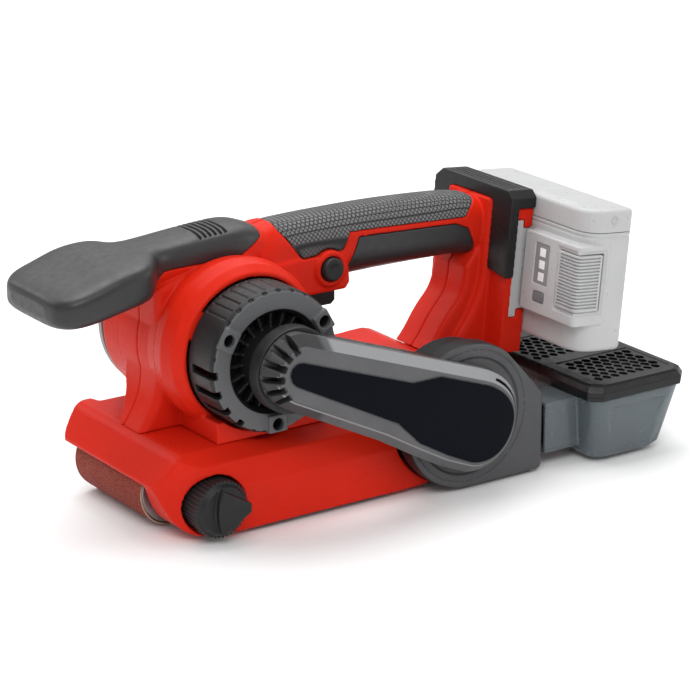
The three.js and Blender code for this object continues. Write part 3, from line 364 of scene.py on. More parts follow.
def cut(base, *tools):
    return combine(base, tools, "DIFFERENCE")


def common(base, *tools):
    return combine(base, tools, "INTERSECT")


def moulded(mesh, voxel, rounds):
    """Edges and joins run softly into each other, as they do on a moulded piece."""
    def add(obj):
        remesh = obj.modifiers.new("remesh", "REMESH")
        remesh.mode, remesh.voxel_size = "VOXEL", voxel * COARSE
        smooth = obj.modifiers.new("smooth", "SMOOTH")
        smooth.factor, smooth.iterations = 0.5, max(2, int(rounds / COARSE))
    return worked(mesh, add)


def node_mesh(name):
    """A copy of a CAD node's own mesh, in millimetres."""
    return moved(nodes[name].data.copy(), Matrix.Scale(1 / MM, 4))


# ---------------------------------------------------------------- materials

class Nodes:
    """Adds shader nodes and joins them up."""

    def __init__(self, name):
        self.material = bpy.data.materials.new(name)
        self.material.use_nodes = True
        self.tree = self.material.node_tree
        self.shader = self.tree.nodes["Principled BSDF"]
        self.place = self.add("ShaderNodeTexCoord").outputs["Object"]

    def add(self, kind, **settings):
        node = self.tree.nodes.new(kind)
        for key, value in settings.items():
            if hasattr(node, key):
                setattr(node, key, value)
            else:
                node.inputs[key.replace("_", " ").title()].default_value = value
        return node

    def link(self, source, target):
        self.tree.links.new(source, target)

    def noise(self, scale, detail=3.0, stretch=None):
        node = self.add("ShaderNodeTexNoise", scale=scale, detail=detail, roughness=0.55)
        self.link(self.stretched(stretch), node.inputs["Vector"])
        return node.outputs["Fac"]

    def cells(self, scale, randomness=1.0, distance="EUCLIDEAN", turn=0.0):
        node = self.add("ShaderNodeTexVoronoi", distance=distance)
        node.inputs["Scale"].default_value = scale
        node.inputs["Randomness"].default_value = randomness
        self.link(self.stretched(None, turn), node.inputs["Vector"])
        return node.outputs["Distance"]

    def stretched(self, stretch, turn=0.0):
        if stretch is None and not turn:
            return self.place
        mapping = self.add("ShaderNodeMapping")
        mapping.inputs["Scale"].default_value = stretch or (1, 1, 1)
        mapping.inputs["Rotation"].default_value = (0, turn, 0)
        self.link(self.place, mapping.inputs["Vector"])
        return mapping.outputs["Vector"]

    def span(self, source, start, end, from_low=0.3, from_high=0.7):
        node = self.add("ShaderNodeMapRange")
        limits = {"From Min": from_low, "From Max": from_high, "To Min": start, "To Max": end}
        for key, value in limits.items():
            node.inputs[key].default_value = value
        self.link(source, node.inputs["Value"])
        return node.outputs["Result"]

    def along(self, axis, start, end):
        """Goes from 0 to 1 along one axis of the piece, between two places in millimetres."""
        split = self.add("ShaderNodeSeparateXYZ")
        self.link(self.place, split.inputs[0])
        return self.span(split.outputs[axis], 0, 1, start * MM, end * MM)

    def out_from(self, centre, start, end):
        """Goes from 0 to 1 with the distance in millimetres from an axis along Y."""
        shift = self.add("ShaderNodeVectorMath", operation="SUBTRACT")
        self.link(self.place, shift.inputs[0])
        shift.inputs[1].default_value = (centre[0] * MM, 0, centre[1] * MM)
        flat = self.add("ShaderNodeVectorMath", operation="MULTIPLY")
        self.link(shift.outputs[0], flat.inputs[0])
        flat.inputs[1].default_value = (1, 0, 1)
        length = self.add("ShaderNodeVectorMath", operation="LENGTH")
        self.link(flat.outputs[0], length.inputs[0])
        return self.span(length.outputs["Value"], 0, 1, start * MM, end * MM)

    def facing(self, axis, start, end):
        """Goes from 0 to 1 as the surface turns towards an axis."""
        split = self.add("ShaderNodeSeparateXYZ")
        self.link(self.add("ShaderNodeTexCoord").outputs["Normal"], split.inputs[0])
        return self.span(split.outputs[axis], 0, 1, start, end)

    def both(self, *shares):
        result = shares[0]
        for share in shares[1:]:
            node = self.add("ShaderNodeMath", operation="MULTIPLY")
            self.link(result, node.inputs[0])
            self.link(share, node.inputs[1])
            result = node.outputs[0]
        return result

    def tint_where(self, share, colour):
        """Another colour over part of the piece."""
        socket = self.shader.inputs["Base Color"]
        self.link(self.mixed(share, socket.links[0].from_socket, colour), socket)

    def mixed(self, share, first, second):
        node = self.add("ShaderNodeMix", data_type="RGBA")
        self.link(share, node.inputs["Factor"])
        for socket, value in ((node.inputs[6], first), (node.inputs[7], second)):
            if isinstance(value, tuple):
                socket.default_value = (*value, 1)
            else:
                self.link(value, socket)
        return node.outputs[2]

    def bump(self, height, strength, distance, after=None):
        node = self.add("ShaderNodeBump")
        node.inputs["Strength"].default_value = strength
        node.inputs["Distance"].default_value = distance
        self.link(height, node.inputs["Height"])
        if after:
            self.link(after, node.inputs["Normal"])
        return node.outputs["Normal"]


def tint(colour, factor):
    return tuple(min(1.0, c * factor) for c in colour)


def moulding(name, colour, rough, grain, strength, worn=0.35, metal=0.0, stretch=None, mottle=0.1, gloss=0.3):
    """A moulded, cast or ground surface.

    It has a fine grain, slightly uneven colour and gloss, and paler rubbed edges.
    """
    grain_depth, uneven_gloss = 0.00005, 0.08
    n = Nodes(name)
    base = n.mixed(n.span(n.noise(38), 0, 1), tint(colour, 1 - mottle), tint(colour, 1 + mottle))
    edge = n.add("ShaderNodeNewGeometry").outputs["Pointiness"]
    rubbed = n.span(edge, 0, worn, 0.52, 0.62)
    n.link(n.mixed(rubbed, base, tint(tuple(c + 0.06 for c in colour), 1.5)), n.shader.inputs["Base Color"])
    n.link(n.span(n.noise(220, 4), rough - uneven_gloss, rough + uneven_gloss), n.shader.inputs["Roughness"])
    fine = n.bump(n.noise(grain, 2, stretch=stretch), strength, grain_depth)
    n.link(n.bump(n.noise(110, 2), 0.08, 0.0002, fine), n.shader.inputs["Normal"])
    n.shader.inputs["Metallic"].default_value = metal
    n.shader.inputs["Specular IOR Level"].default_value = 0.5 if metal else gloss
    return n


# The looks that need nothing more, each with what moulding() takes.
PLAIN_LOOKS = {
    "red": ("red_moulding", (0.62, 0.019, 0.007), 0.34, 1900, 0.1, 0.03, 0.0, None, 0.04, 0.08),
    "soft": ("soft_touch", (0.02, 0.02, 0.0215), 0.4, 1500, 0.3, 0.2, 0.0, None, 0.1, 0.5),
    "dark": ("dark_moulding", (0.012, 0.012, 0.013), 0.44, 1700, 0.35, 0.15),
    "lid": ("lid_black", (0.004, 0.004, 0.005), 0.32, 1500, 0.2, 0.15),
    "cap": ("pale_cap", (0.36, 0.36, 0.34), 0.45, 1500, 0.25, 0.05),
    "steel": ("ground_steel", (0.48, 0.49, 0.51), 0.3, 900, 0.25, 0.2, 1.0, (1, 0.08, 1)),
    "alloy": ("cast_alloy", (0.45, 0.46, 0.48), 0.42, 1300, 0.45, 0.2, 1.0),
    "rubber": ("black_rubber", (0.014, 0.014, 0.014), 0.72, 1100, 0.5, 0.1),
    "copper": ("wound_stack", (0.32, 0.12, 0.05), 0.4, 900, 0.4, 0.35, 0.8, (0.1, 1, 0.1)),
    "board": ("solder_mask", (0.01, 0.08, 0.035), 0.35, 700, 0.3),
    "cell": ("cell_sleeve", (0.10, 0.20, 0.30), 0.38, 800, 0.15),
    "felt": ("felted_pad", (0.08, 0.08, 0.08), 0.92, 1600, 0.7, 0.35, 0.0, (1, 0.4, 1)),
    "rib": ("ribbed_grey", (0.42, 0.423, 0.427), 0.36, 1500, 0.12, 0.6),
    "check": ("check_grey", (0.17, 0.173, 0.18), 0.45, 1500, 0.2, 0.2),
    "strip": ("light_strip", (0.26, 0.263, 0.27), 0.4, 1500, 0.12, 0.1),
    "lens": ("clear_lens", (0.92, 0.92, 0.92), 0.2, 1200, 0.08, 0.0),
}


def motor_cover_look():
    """Black round its wall and in its recess, with a grey face."""
    n = moulding("motor_cover_grey", (0.014, 0.0143, 0.015), 0.42, 1600, 0.35, 0.35)
    face, eaves, recess = (-71.1, -71.7), (-78, -76), (30.6, 30.2)
    n.tint_where(n.both(n.along("Y", *face), n.along("Y", *eaves)), (0.10, 0.102, 0.106))
    n.tint_where(n.out_from(MOTOR, *recess), (0.012, 0.012, 0.013))
    return n


def drive_cover_look():
    """Grey, with a painted highlight on the upper slope along its arm, a dark boss and a painted reflection
    along its lower edge.
    """
    n = moulding("drive_cover_grey", (0.095, 0.096, 0.1), 0.44, 1600, 0.3, 0.15)
    face, boss_end = COVER_FACE, MOTOR[0] + 10
    painted_highlight_slope = n.both(n.facing("Y", -0.5, -0.6), n.facing("Y", -0.96, -0.86),
                    n.along("Y", face + 6.8, face + 6.4))
    arm = n.along("X", boss_end + 6, boss_end + 9)
    # painted highlight: where the slope along the arm faces up it is tinted paler, standing in for the
    # overhead light falling on it
    n.tint_where(n.both(painted_highlight_slope, n.facing("Z", 0.1, 0.45), arm), (0.26, 0.263, 0.27))
    boss = n.both(n.along("X", boss_end + 4, boss_end), n.facing("Y", -0.97, -0.9))
    n.tint_where(boss, (0.034, 0.0345, 0.036))
    # painted reflection: a pale line where the edge just behind the face turns downwards, standing in for the
    # pale floor reflected in it
    line = n.both(n.along("Y", face + 0.2, face + 0.6), n.along("Y", face + 1.5, face + 1.1))
    n.tint_where(n.both(line, n.facing("Z", -0.1, -0.4)), (0.26, 0.262, 0.27))
    return n


def fan_cover_look():
    """Grey, with a black wall round its rim."""
    n = moulding("fan_cover_grey", (0.07, 0.071, 0.074), 0.46, 1600, 0.3, 0.15)
    rim = n.both(n.out_from(LAYSHAFT, FAN_COVER_R - 2.5, FAN_COVER_R - 1.5), n.facing("Y", -0.7, -0.5))
    n.tint_where(rim, (0.012, 0.012, 0.013))
    return n


def grip_look():
    """Small raised squares, set cornerwise, with painted highlight on their tops and painted shade in the
    grooves between them.
    """
    pitch = 0.0021
    n = moulding("squared_grip", (0.03, 0.03, 0.032), 0.55, 1700, 0.2, 0.1)
    squares = n.cells(1 / pitch, randomness=0.0, distance="CHEBYCHEV", turn=math.radians(45))
    raised = n.span(squares, 1, 0, 0.34, 0.46)
    n.link(n.bump(raised, 0.9, 0.0004), n.shader.inputs["Normal"])
    # painted highlight and shade: the raised squares are tinted pale and the grooves between them near black,
    # standing in for light on the tops and shade in the grooves
    n.link(n.mixed(raised, (0.018, 0.018, 0.019), (0.17, 0.17, 0.175)), n.shader.inputs["Base Color"])
    return n


def inlay_look():
    """Near black, with a pattern of dots that fades out towards the wide end."""
    pitch = 0.0024
    n = moulding("inlay_plate", (0.002, 0.003, 0.006), 0.3, 1500, 0.08, 0.01, gloss=0.05)
    spots = n.span(n.cells(1 / pitch, randomness=0.0, turn=math.radians(45)), 1, 0, 0.28, 0.36)
    dots = n.both(spots, n.along("X", 46, 30))
    n.tint_where(dots, (0.08, 0.09, 0.115))
    n.link(n.bump(dots, 0.35, 0.00015), n.shader.inputs["Normal"])
    return n


def grit_look():
    n = moulding("abrasive_grit", (0.20, 0.062, 0.036), 0.85, 1300, 0.5, 0.0)
    grains = n.cells(1500)
    shade = n.mixed(n.span(grains, 0, 1, 0.1, 0.6), (0.50, 0.095, 0.06), (0.17, 0.028, 0.018))
    n.link(shade, n.shader.inputs["Base Color"])
    n.link(n.bump(grains, 0.9, 0.0004), n.shader.inputs["Normal"])
    return n


def cloth_look():
    thread = 0.0007
    n = moulding("belt_cloth", (0.42, 0.30, 0.21), 0.85, 1200, 0.4)
    weave = n.cells(1 / thread, randomness=0.0, distance="MANHATTAN")
    n.link(n.bump(weave, 0.6, 0.0002), n.shader.inputs["Normal"])
    return n


def clear_look(n, share, ior):
    """Lets part of the light through."""
    n.shader.inputs["Transmission Weight"].default_value = share
    n.shader.inputs["IOR"].default_value = ior
    return n


def make_materials():
    made = {look: moulding(*settings) for look, settings in PLAIN_LOOKS.items()}
    made["ring"] = motor_cover_look()
    made["cover"] = drive_cover_look()
    made["fan"] = fan_cover_look()
    made["grip"] = grip_look()
    made["plate"] = inlay_look()
    made["grit"] = grit_look()
    made["cloth"] = cloth_look()
    smoke = moulding("smoked_clear", (0.22, 0.26, 0.28), 0.2, 700, 0.01, 0.0, mottle=0.03)
    made["smoke"] = clear_look(smoke, 0.6, 1.45)
    frost = moulding("frosted_shell", (0.58, 0.582, 0.585), 0.34, 1500, 0.08, 0.3, mottle=0.03)
    made["frost"] = clear_look(frost, 0.16, 1.4)
    return {look: n.material for look, n in made.items()}


MATERIALS = make_materials()


# ---------------------------------------------------------------- placing pieces

def soften_edges(obj, width, degrees):
    bevel = obj.modifiers.new("edges", "BEVEL")
    bevel.width, bevel.segments, bevel.limit_method = width * MM, 2, "ANGLE"
    bevel.angle_limit = math.radians(degrees)
    return bevel


def piece(name, mesh, body, look, replaces=(), crisp=0.0, paint=()):
    """Puts a mesh in millimetres into the scene as a finished piece."""
    mesh.transform(Matrix.Scale(MM, 4))
    mesh.name = name
    obj = bpy.data.objects.new(name, mesh)
    bpy.context.scene.collection.objects.link(obj)
    mesh.materials.clear()
    mesh.materials.append(MATERIALS[look])
    for _, extra in paint:
        mesh.materials.append(MATERIALS[extra])
    mesh.shade_smooth()
    for face in mesh.polygons:
        face.material_index = 0
        for index, (wanted, _) in enumerate(paint):
            if wanted(face.center / MM, face.normal):
                face.material_index = index + 1
    if crisp:
        crease = 35
        mesh.set_sharp_from_angle(angle=math.radians(crease))
        soften_edges(obj, crisp, crease).harden_normals = True
    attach(obj, body)
    if replaces:
        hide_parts(*replaces)
    return obj


def keep_node(name, look, edge=0.35):
    """A CAD node that stays as it is, with softened edges and its finish."""
    obj = nodes[name]
    obj.data.materials.clear()
    obj.data.materials.append(MATERIALS[look])
    soften_edges(obj, edge, 32)


# ---------------------------------------------------------------- belt, rollers and the frame inside the belt

def loop(offset):
    r = ROLLER_R + offset
    return path((FRONT[0], AXLE_Z - r), (DRIVE[0], AXLE_Z - r),
                ("arc", DRIVE[0], AXLE_Z, r, -PI / 2, PI / 2), ("arc", FRONT[0], AXLE_Z, r, PI / 2, 1.5 * PI))


def add_belt_unit():
    near, far = low("sanding_belt").y, high("sanding_belt").y
    belt = cut(prism("y", loop(1.0), near, far, 0.25), prism("y", loop(0), near - 1, far + 1))

    def outside(c, n):
        flat = min(max(c.x, FRONT[0]), DRIVE[0])
        return math.hypot(c.x - flat, c.z - AXLE_Z) > ROLLER_R + 0.8 and abs(n.y) < 0.6
    piece("belt_loop", belt, "root", "cloth", ["sanding_belt"], crisp=0.08,
          paint=[(outside, "grit")])

    half = high("drive_roller_sleeve").y
    sleeve_r = ROLLER_R - GAP
    crown = [(17, -half), (sleeve_r - 0.8, -half), (sleeve_r, -half + 0.8), (sleeve_r, half - 0.8),
             (sleeve_r - 0.8, half), (17, half)]
    sleeve = lathe(DRIVE, crown)
    grooves = [tube(DRIVE, sleeve_r - 0.5, sleeve_r + 1, y, y + 0.8) for y in range(-32, 34, 8)]
    piece("drive_sleeve", cut(sleeve, *grooves), "drive_roller_group", "rubber",
          ["drive_roller_sleeve"], crisp=0.15)
    start = low("drive_roller").y
    core = lathe(DRIVE, [(0, start), (4, start), (4.5, start + 0.5), (4.5, -half), (16.7, -half),
                         (16.7, half - 0.6), (16.1, half), (13, half), (12.6, half - 2), (7, half - 2),
                         (6.6, half), (0, half)])
    piece("drive_core", core, "drive_roller_group", "steel", ["drive_roller"], crisp=0.2)

    end = high("front_roller").y
    r = ROLLER_R - GAP
    idler = lathe(FRONT, [(4.3, -end), (8, -end), (8.4, -end + 2.5), (14.5, -end + 2.5), (15, -end),
                          (r - 0.7, -end), (r, -end + 0.7), (r, end - 0.7), (r - 0.7, end), (15, end),
                          (14.5, end - 2.5), (8.4, end - 2.5), (8, end), (4.3, end)])
    piece("idler_roller", idler, "idler", "alloy", ["front_roller"], crisp=0.15)
    reach = high("front_axle").y
    axle = lathe(FRONT, [(0, -reach), (3.3, -reach), (4, -reach + 0.7), (4, reach - 0.7), (3.3, reach),
                         (0, reach)], 64)
    piece("idler_axle", axle, "fork", "steel", ["front_axle"], crisp=0.1)

    piece("inner_casting", node_mesh("inner_frame"), "root", "alloy", ["inner_frame"], crisp=0.15)
    piece("fork_casting", node_mesh("roller_fork"), "fork", "alloy", ["roller_fork"], crisp=0.15)
    piece("lever_arm", moulded(node_mesh("release_lever"), 0.4, 5), "lever", "dark",
          ["release_lever"])
    z0, z1 = low("lever_pin").z, high("lever_pin").z
    piece("lever_pivot", pillar(LEVER, 2.5, z0, z1), "root", "steel", ["lever_pin"], crisp=0.3)


# ---------------------------------------------------------------- base frame

def frame_side():
    return path((FRAME_FRONT, 31), (-96, 47), ("q", -93, DECK_Z, -88, DECK_Z), (54, DECK_Z),
                ("c", 64, DECK_Z, 68, 60.5, 78, 61), (104, 62), ("c", 112, 61, 117, 57, 120, 54),
                (FRAME_REAR, 44), (FRAME_REAR, 12), (108, 5), (52, 3), (-80, 3),
                ("c", -92, 3, -99, 12, -103, 26))


def add_base_frame():
    plan = path((FRAME_FRONT, APRON_RIGHT - 7), (FRAME_FRONT, -46),
                ("c", FRAME_FRONT, -62, -90, FRAME_LEFT + 4, -62, FRAME_LEFT), (70, FRAME_LEFT),
                (70, FRAME_BACK_LEFT), (FRAME_REAR, FRAME_BACK_LEFT), (FRAME_REAR, FRAME_RIGHT),
                (-82, FRAME_RIGHT), (-84, APRON_RIGHT), (-98, APRON_RIGHT),
                ("q", FRAME_FRONT, APRON_RIGHT, FRAME_FRONT, APRON_RIGHT - 7))
    front = path((APRON_RIGHT, 0), (APRON_RIGHT, 58), (APRON_RIGHT - 8, 66), (-52, 66), (-60, DECK_Z),
                 (-70, 44), (FRAME_LEFT, 30), (FRAME_LEFT, 0))
    body = common(prism("z", plan, 0, 70), prism("y", frame_side(), FRAME_LEFT - 1, APRON_RIGHT + 1),
                  prism("x", front, FRAME_FRONT - 1, FRAME_REAR + 1))
    wall = BEARING_WALL
    over = APRON_RIGHT + 2
    frame_mesh = cut(
        body,
        prism("y", loop(2.8), wall[1], over),
        block((FRONT[0] - 18, DRIVE[0] + 24), (wall[1], over), (-1, AXLE_Z)),
        block((FRAME_FRONT - 1, FRONT[0]), (wall[1], over), (-1, 27)),
        prism("x", [(FRAME_LEFT + 3, -1), (wall[0], -1), (wall[0], 41), (FRAME_LEFT + 7.1, 41),
                    (FRAME_LEFT + 3, 28)], -50, 44),
        rod(DRIVE, 19.6, FRAME_BACK_LEFT - 1, wall[0]),
        rod(LAYSHAFT, 11.2, FRAME_BACK_LEFT - 1, wall[0]),
        block((72, 108), (wall[1], FRAME_RIGHT - 3), (40, 55)),
        rod(DRIVE, 11, wall[0] - 1, wall[1] + 1),
        rod(KNOB, 18.2, FRAME_LEFT - 25, KNOB_BACK + GAP),
        rod(KNOB, 4.6, FRAME_LEFT, wall[1] + 1),
        rod(LAYSHAFT, FAN_COVER_R + GAP, FRAME_LEFT - 2, FRAME_BACK_LEFT),
        rod(MOTOR, BARREL_R + GAP, -64, FRAME_RIGHT + 1, 160),
    )
    piece("frame_moulding", moulded(frame_mesh, 0.7, 6), "root", "red", ["base_frame"])


# ---------------------------------------------------------------- housing and handles

BAR = [(-8, 135, 17, 21), (12, 137.6, 18, 20), (45, 137.8, 18, 20.4), (80, 137.8, 17.5, 20.2),
       (115, 136.8, 17.5, 19.6), (138, 135.4, 18, 19), (154, 132, 18, 19)]
POMMEL = [(-150.5, 133.5, 20, 4, 4), (-148.5, 133.5, 29, 8, 4.5), (-141, 134.5, 36.5, 10.5, 4.5),
          (-128, 137, 39, 12, 4.5), (-112, 141.2, 39, 13, 4.5, -0.5), (-98, 144, 36, 12.8, 4.5, -3),
          (-91, 145, 29, 12.4, 4, -7), (-85, 145.6, 24, 12, 3.6, -5), (-79, 146, 19.8, 12, 3.2, -1.7),
          (-70, 146.6, 18.5, 12, 3), (-54, 147.5, 19, 12.7, 2.8), (-36, 148.5, 19.5, 13, 2.8),
          (-18, 148.5, 19.5, 13, 2.8), (-4, 146, 17, 11, 2.6)]


def bar(inset=0.0, start=-8, end=154):
    return common(loft(smooth_stations(BAR, 40), inset), block((start, end), (-60, 60), (60, 200)))


def pommel(inset=0.0):
    return loft(smooth_stations(POMMEL, 72), inset)


def above_seam(gap):
    return prism("y", path((-160, 100 + gap), (-82 - gap, 100 + gap), (-82 - gap, 138 + gap),
                           (-74, 144 + gap), (-24, 145 + gap), (-7 - gap, 154), (-7 - gap, 175),
                           (-160, 175)), -50, 50)


def top_region(gap):
    return prism("y", path((6 - gap, 170), (6 - gap, 154), (20 - gap, 135.5 - gap), (49 + gap, 136.5 - gap),
                           (54 + gap, 146.4 - gap), (138, 142.2 - gap), (142, 146), (149 + gap, 151),
                           (149 + gap, 170)), -30, 30)


def under_region(gap):
    return prism("y", path((53 - gap, 124), (60.5 - gap, 142.2 + gap), (131, 138.8 + gap), (140 + gap, 135),
                           (146 + gap, 122), (146 + gap, 106 - gap), (100, 105), (53 - gap, 105)), -30, 30)


def rear_post(half):
    side = path((100, 50), (110, 61), ("c", 118, 68, 120, 76, 130, 86), ("c", 137, 93, 138, 100, 139, 110),
                (150, 124), (166, 124), (164, 50))
    return prism("y", side, -half, half, 3)


def rear_shoulder(half):
    side = path((118, 50), (132, 72), ("c", 142, 84, 148, 96, 149, 112), (153, 152), (168, 152), (162, 60),
                (150, 50))
    return prism("y", side, -half, half, 4)


def dock_slots():
    return [leaning(block((-7.5, -1.5), (DOCK_NEAR - 1, 30.3), (8, 69))),
            leaning(block((-2, 9), (DOCK_NEAR - 1, 30.3), (13, 64))),
            leaning(block((-11, -7), (-12, 25), (26, 52)))]


def housing_solid():
    profile = [(0, -46), (45, -46), (49, -40), (50.5, -30), (BARREL_R, -12), (BARREL_R, 38), (45, 44),
               (0, 44)]
    column = common(prism("y", path((-94, 46), (-92, 51.5), ("c", -86, 60, -80, 68, -80, 82), (-80, 134),
                                    (-60, 141), (-30, 141), (-30, 46)), -20, 20, 4),
                    prism("x", path((-21, 40), (-21, 150), (21, 150), (21, 82), (5, 51), (5, 40)), -100, -20))
    neck = cut(common(pommel(), block((-81, -2), (-40, 40), (100, 170))), above_seam(0))
    collar = loft(smooth_stations([(-9, 138, 18.5, 17), (0, 138, 19, 19.5), (12, 137.6, 18, 20)], 12))
    switch = prism("y", path((-6, 108), (-2, 136), (44, 137), (51, 131), (52, 117), (49, 113), (20, 113)),
                   -20.5, 20.5, 2)
    saddle = cut(block((-66, 10), (-60, 30), (46, 64)), rod(MOTOR, COVER_R + 1.6, -76, -45))
    dock = leaning(block((-12, 4), (DOCK_NEAR, DOCK_FAR), (-14, 76)))
    return join(lathe(MOTOR, profile, 160), column, neck, collar, bar(), switch, saddle, rear_post(POST_HALF),
                rear_shoulder(SHOULDER_HALF), dock)


def add_housing():
    spaces = [
        lathe(MOTOR, [(0, -50), (COVER_R - 1, -50), (COVER_R + 3, -38), (COVER_R + 3, 38), (12, 38), (12, 45),
                      (0, 45)]),
        block((-75, -50), (-15, 15), (88, 126)),
        block((-20, 12), (-11, 11), (118, 146)),
        bar(5.8, 2, 147),
        prism("y", path((128, 62), (142, 88), (147, 118), (147, 128), (156, 128), (157, 62)), -12, 12),
    ]
    pockets = [cut(top_region(GAP), bar(WALL + GAP)),
               cut(under_region(GAP), bar(WALL + GAP), rear_post(POST_HALF + 2 - GAP))]
    deck = moved(prism("y", frame_side(), FRAME_LEFT, APRON_RIGHT + 5), Matrix.Translation((GAP, 0, GAP)))
    seams = [tube(MOTOR, BARREL_R - 0.8, BARREL_R + 4, y, y + 1.0, 160) for y in (-22, 20)]
    shell = cut(housing_solid(), *spaces, *dock_slots(), common(pommel(-GAP), above_seam(0)), *pockets, deck,
                block((21, 50.5), (-8, 8), (105, 124)), rod(LOCK, 7.3, -30, -8),
                rod(MOTOR, COVER_R + GAP, -80, -45.7, 160),
                rod(LAYSHAFT, FAN_COVER_R + GAP, -95, -61.5), *seams)
    bezel = lathe(LOCK, [(7.4, -21.8), (8.2, -22.5), (10, -22.5), (10.8, -21.7), (10.8, -17), (7.4, -17)], 72)
    bosses = [cut(rod(spot, 9, -45.8, -32, 48), rod(spot, 2.5, -50, -30, 32)) for spot in SCREWS]
    shell = join(shell, bezel, *bosses)
    for name, node, side in (("housing_near", "housing_left", (-100, -GAP / 2)),
                             ("housing_far", "housing_right", (GAP / 2, 100))):
        half = common(shell.copy(), block((-200, 300), side, (0, 200)))
        piece(name, moulded(half, 0.65, 5), "root", "red", [node])


def add_handles():
    grip = common(pommel(), above_seam(GAP))
    groove_floor = pommel(1.9)
    grooves = []
    for x in (-48, -44.6, -41.2, -37.8, -34.4, -31):
        grooves.append(cut(block((x, x + 1.7), (-15, 15), (152, 175)), groove_floor.copy()))
    piece("palm_rest", moulded(cut(grip, *grooves), 0.5, 4), "root", "soft", ["front_handle"])

    skin = cut(bar(), bar(WALL))
    top = cut(common(skin, top_region(0)), rod(LOCK, 10.8 + GAP, -30, -10))
    piece("grip_top", moulded(top, 0.55, 4), "root", "grip", ["top_grip"])
    under = cut(common(bar(), under_region(0)), bar(WALL), rear_post(POST_HALF + 2))
    piece("grip_under", moulded(under, 0.55, 4), "root", "soft", ["under_grip"])


# ---------------------------------------------------------------- motor covers

def spoke(reach, y, half, degrees, edge=0.0):
    """A block that stands out from the motor's axis."""
    box = block((MOTOR[0] + reach[0], MOTOR[0] + reach[1]), y, (MOTOR[1] - half, MOTOR[1] + half), edge)
    return turned_about(box, MOTOR, math.radians(degrees))


def add_motor_covers():
    shell = lathe(MOTOR, [(10.4, -57), (31, -57), (31, -69), (39, -69), (39, -46.4), (COVER_R, -46.4),
                          (COVER_R, -69), (COVER_R - 1.5, -72), (30.5, -72), (28, -68), (28, -60), (19, -60),
                          (19, -82), (14, -82), (14, -62), (10.4, -62)])
    posts = [rod(spot, 5.2, -71, -46.4, 48) for spot in SCREWS]
    tabs = [spoke((30.8, 41.4), (-74.2, -70), 6.4, a, 1.0) for a in SCREW_ANGLES]
    fins = [spoke((18.6, 30.6), (-67, -59.6), 0.7, a) for a in range(0, 360, 18)]
    slots = [spoke((38, 44), (-73, -50), 2.3, a) for a in (182, 199, 216, 233, 308, 325, 342)]
    lines = [spoke((41.2, 44), (-68, -48), 0.7, a) for a in (*range(96, 138, 8), *range(44, 92, 8))]
    notches = [spoke((40.2, 44), (-73, -69.6), 1.5, a)
               for a in (*range(60, 140, 13), 5, 15, 168, 248, 258, 290)]
    holes = [rod(spot, 3.6, -76, -46, 40) for spot in SCREWS]
    cover = cut(join(shell, *posts, *tabs, *fins), *slots, *lines, *notches, *holes)
    piece("motor_cover", moulded(cover, 0.42, 3), "root", "ring", ["motor_end_cover"])
    for i, spot in enumerate(SCREWS):
        x, z = spot
        head = lathe(spot, [(0, -62), (2.6, -62), (3.2, -61.4), (3.2, -58), (2.2, -58), (2.2, -35),
                            (0, -35)], 40)
        arms = [turned_about(block((x - 1.9, x + 1.9), (-63, -60.6), (z - 0.45, z + 0.45)), spot, k * PI / 3)
                for k in range(3)]
        piece(f"screw_{i + 1}", cut(head, *arms), "root", "steel", [f"cover_screw_{i + 1}"],
              crisp=0.08)
    cap = lathe(MOTOR, [(0, 44.5), (46, 44.5), (46.5, 47), (44, 50), (36, 50), (35.2, 49.2), (34.4, 50),
                        (24, 50), (23.2, 49.2), (22.4, 50), (0, 50)], 160)
    vents = [prism("y", oblong(MOTOR[0], MOTOR[1] + 3.4 * k, 26, 1.6), 49.0, 51) for k in range(-4, 5)]
    piece("far_cap", cut(cap, *vents), "root", "cap", ["motor_far_cap"], crisp=0.25)


# ---------------------------------------------------------------- belt drive cover and fan

def cover_outline():
    return path((-32, 121), (92, 77), ("c", 111, 70, 119, 57, 117.5, 43), ("c", 115, 22, 98, 11, 80, 15.5),
                (62, 23), (42, 34), (18, 48), (-44, 79), ("c", -60, 88, -62, 104, -52, 114),
                ("c", -46, 121, -38, 123, -32, 121))


def inlay_outline():
    return path((-36, 106), (38, 80), (58, 80), (92, 68), ("c", 106, 62, 112, 52, 110, 42),
                ("c", 107, 28, 96, 19, 80, 23.5), (64, 31), (43, 43), (28, 58), (-40, 93),
                ("c", -48, 98, -45, 108, -36, 106))


def drive_loop(offset):
    small, large = 9 + offset, 22 + offset
    dx, dz = LAYSHAFT[0] - MOTOR[0], LAYSHAFT[1] - MOTOR[1]
    heading = math.atan2(dz, dx)
    spread = math.acos((small - large) / math.hypot(dx, dz))
    return path(("arc", LAYSHAFT[0], LAYSHAFT[1], large, heading - PI + spread, heading + PI - spread),
                ("arc", MOTOR[0], MOTOR[1], small, heading + spread, heading + 2 * PI - spread))


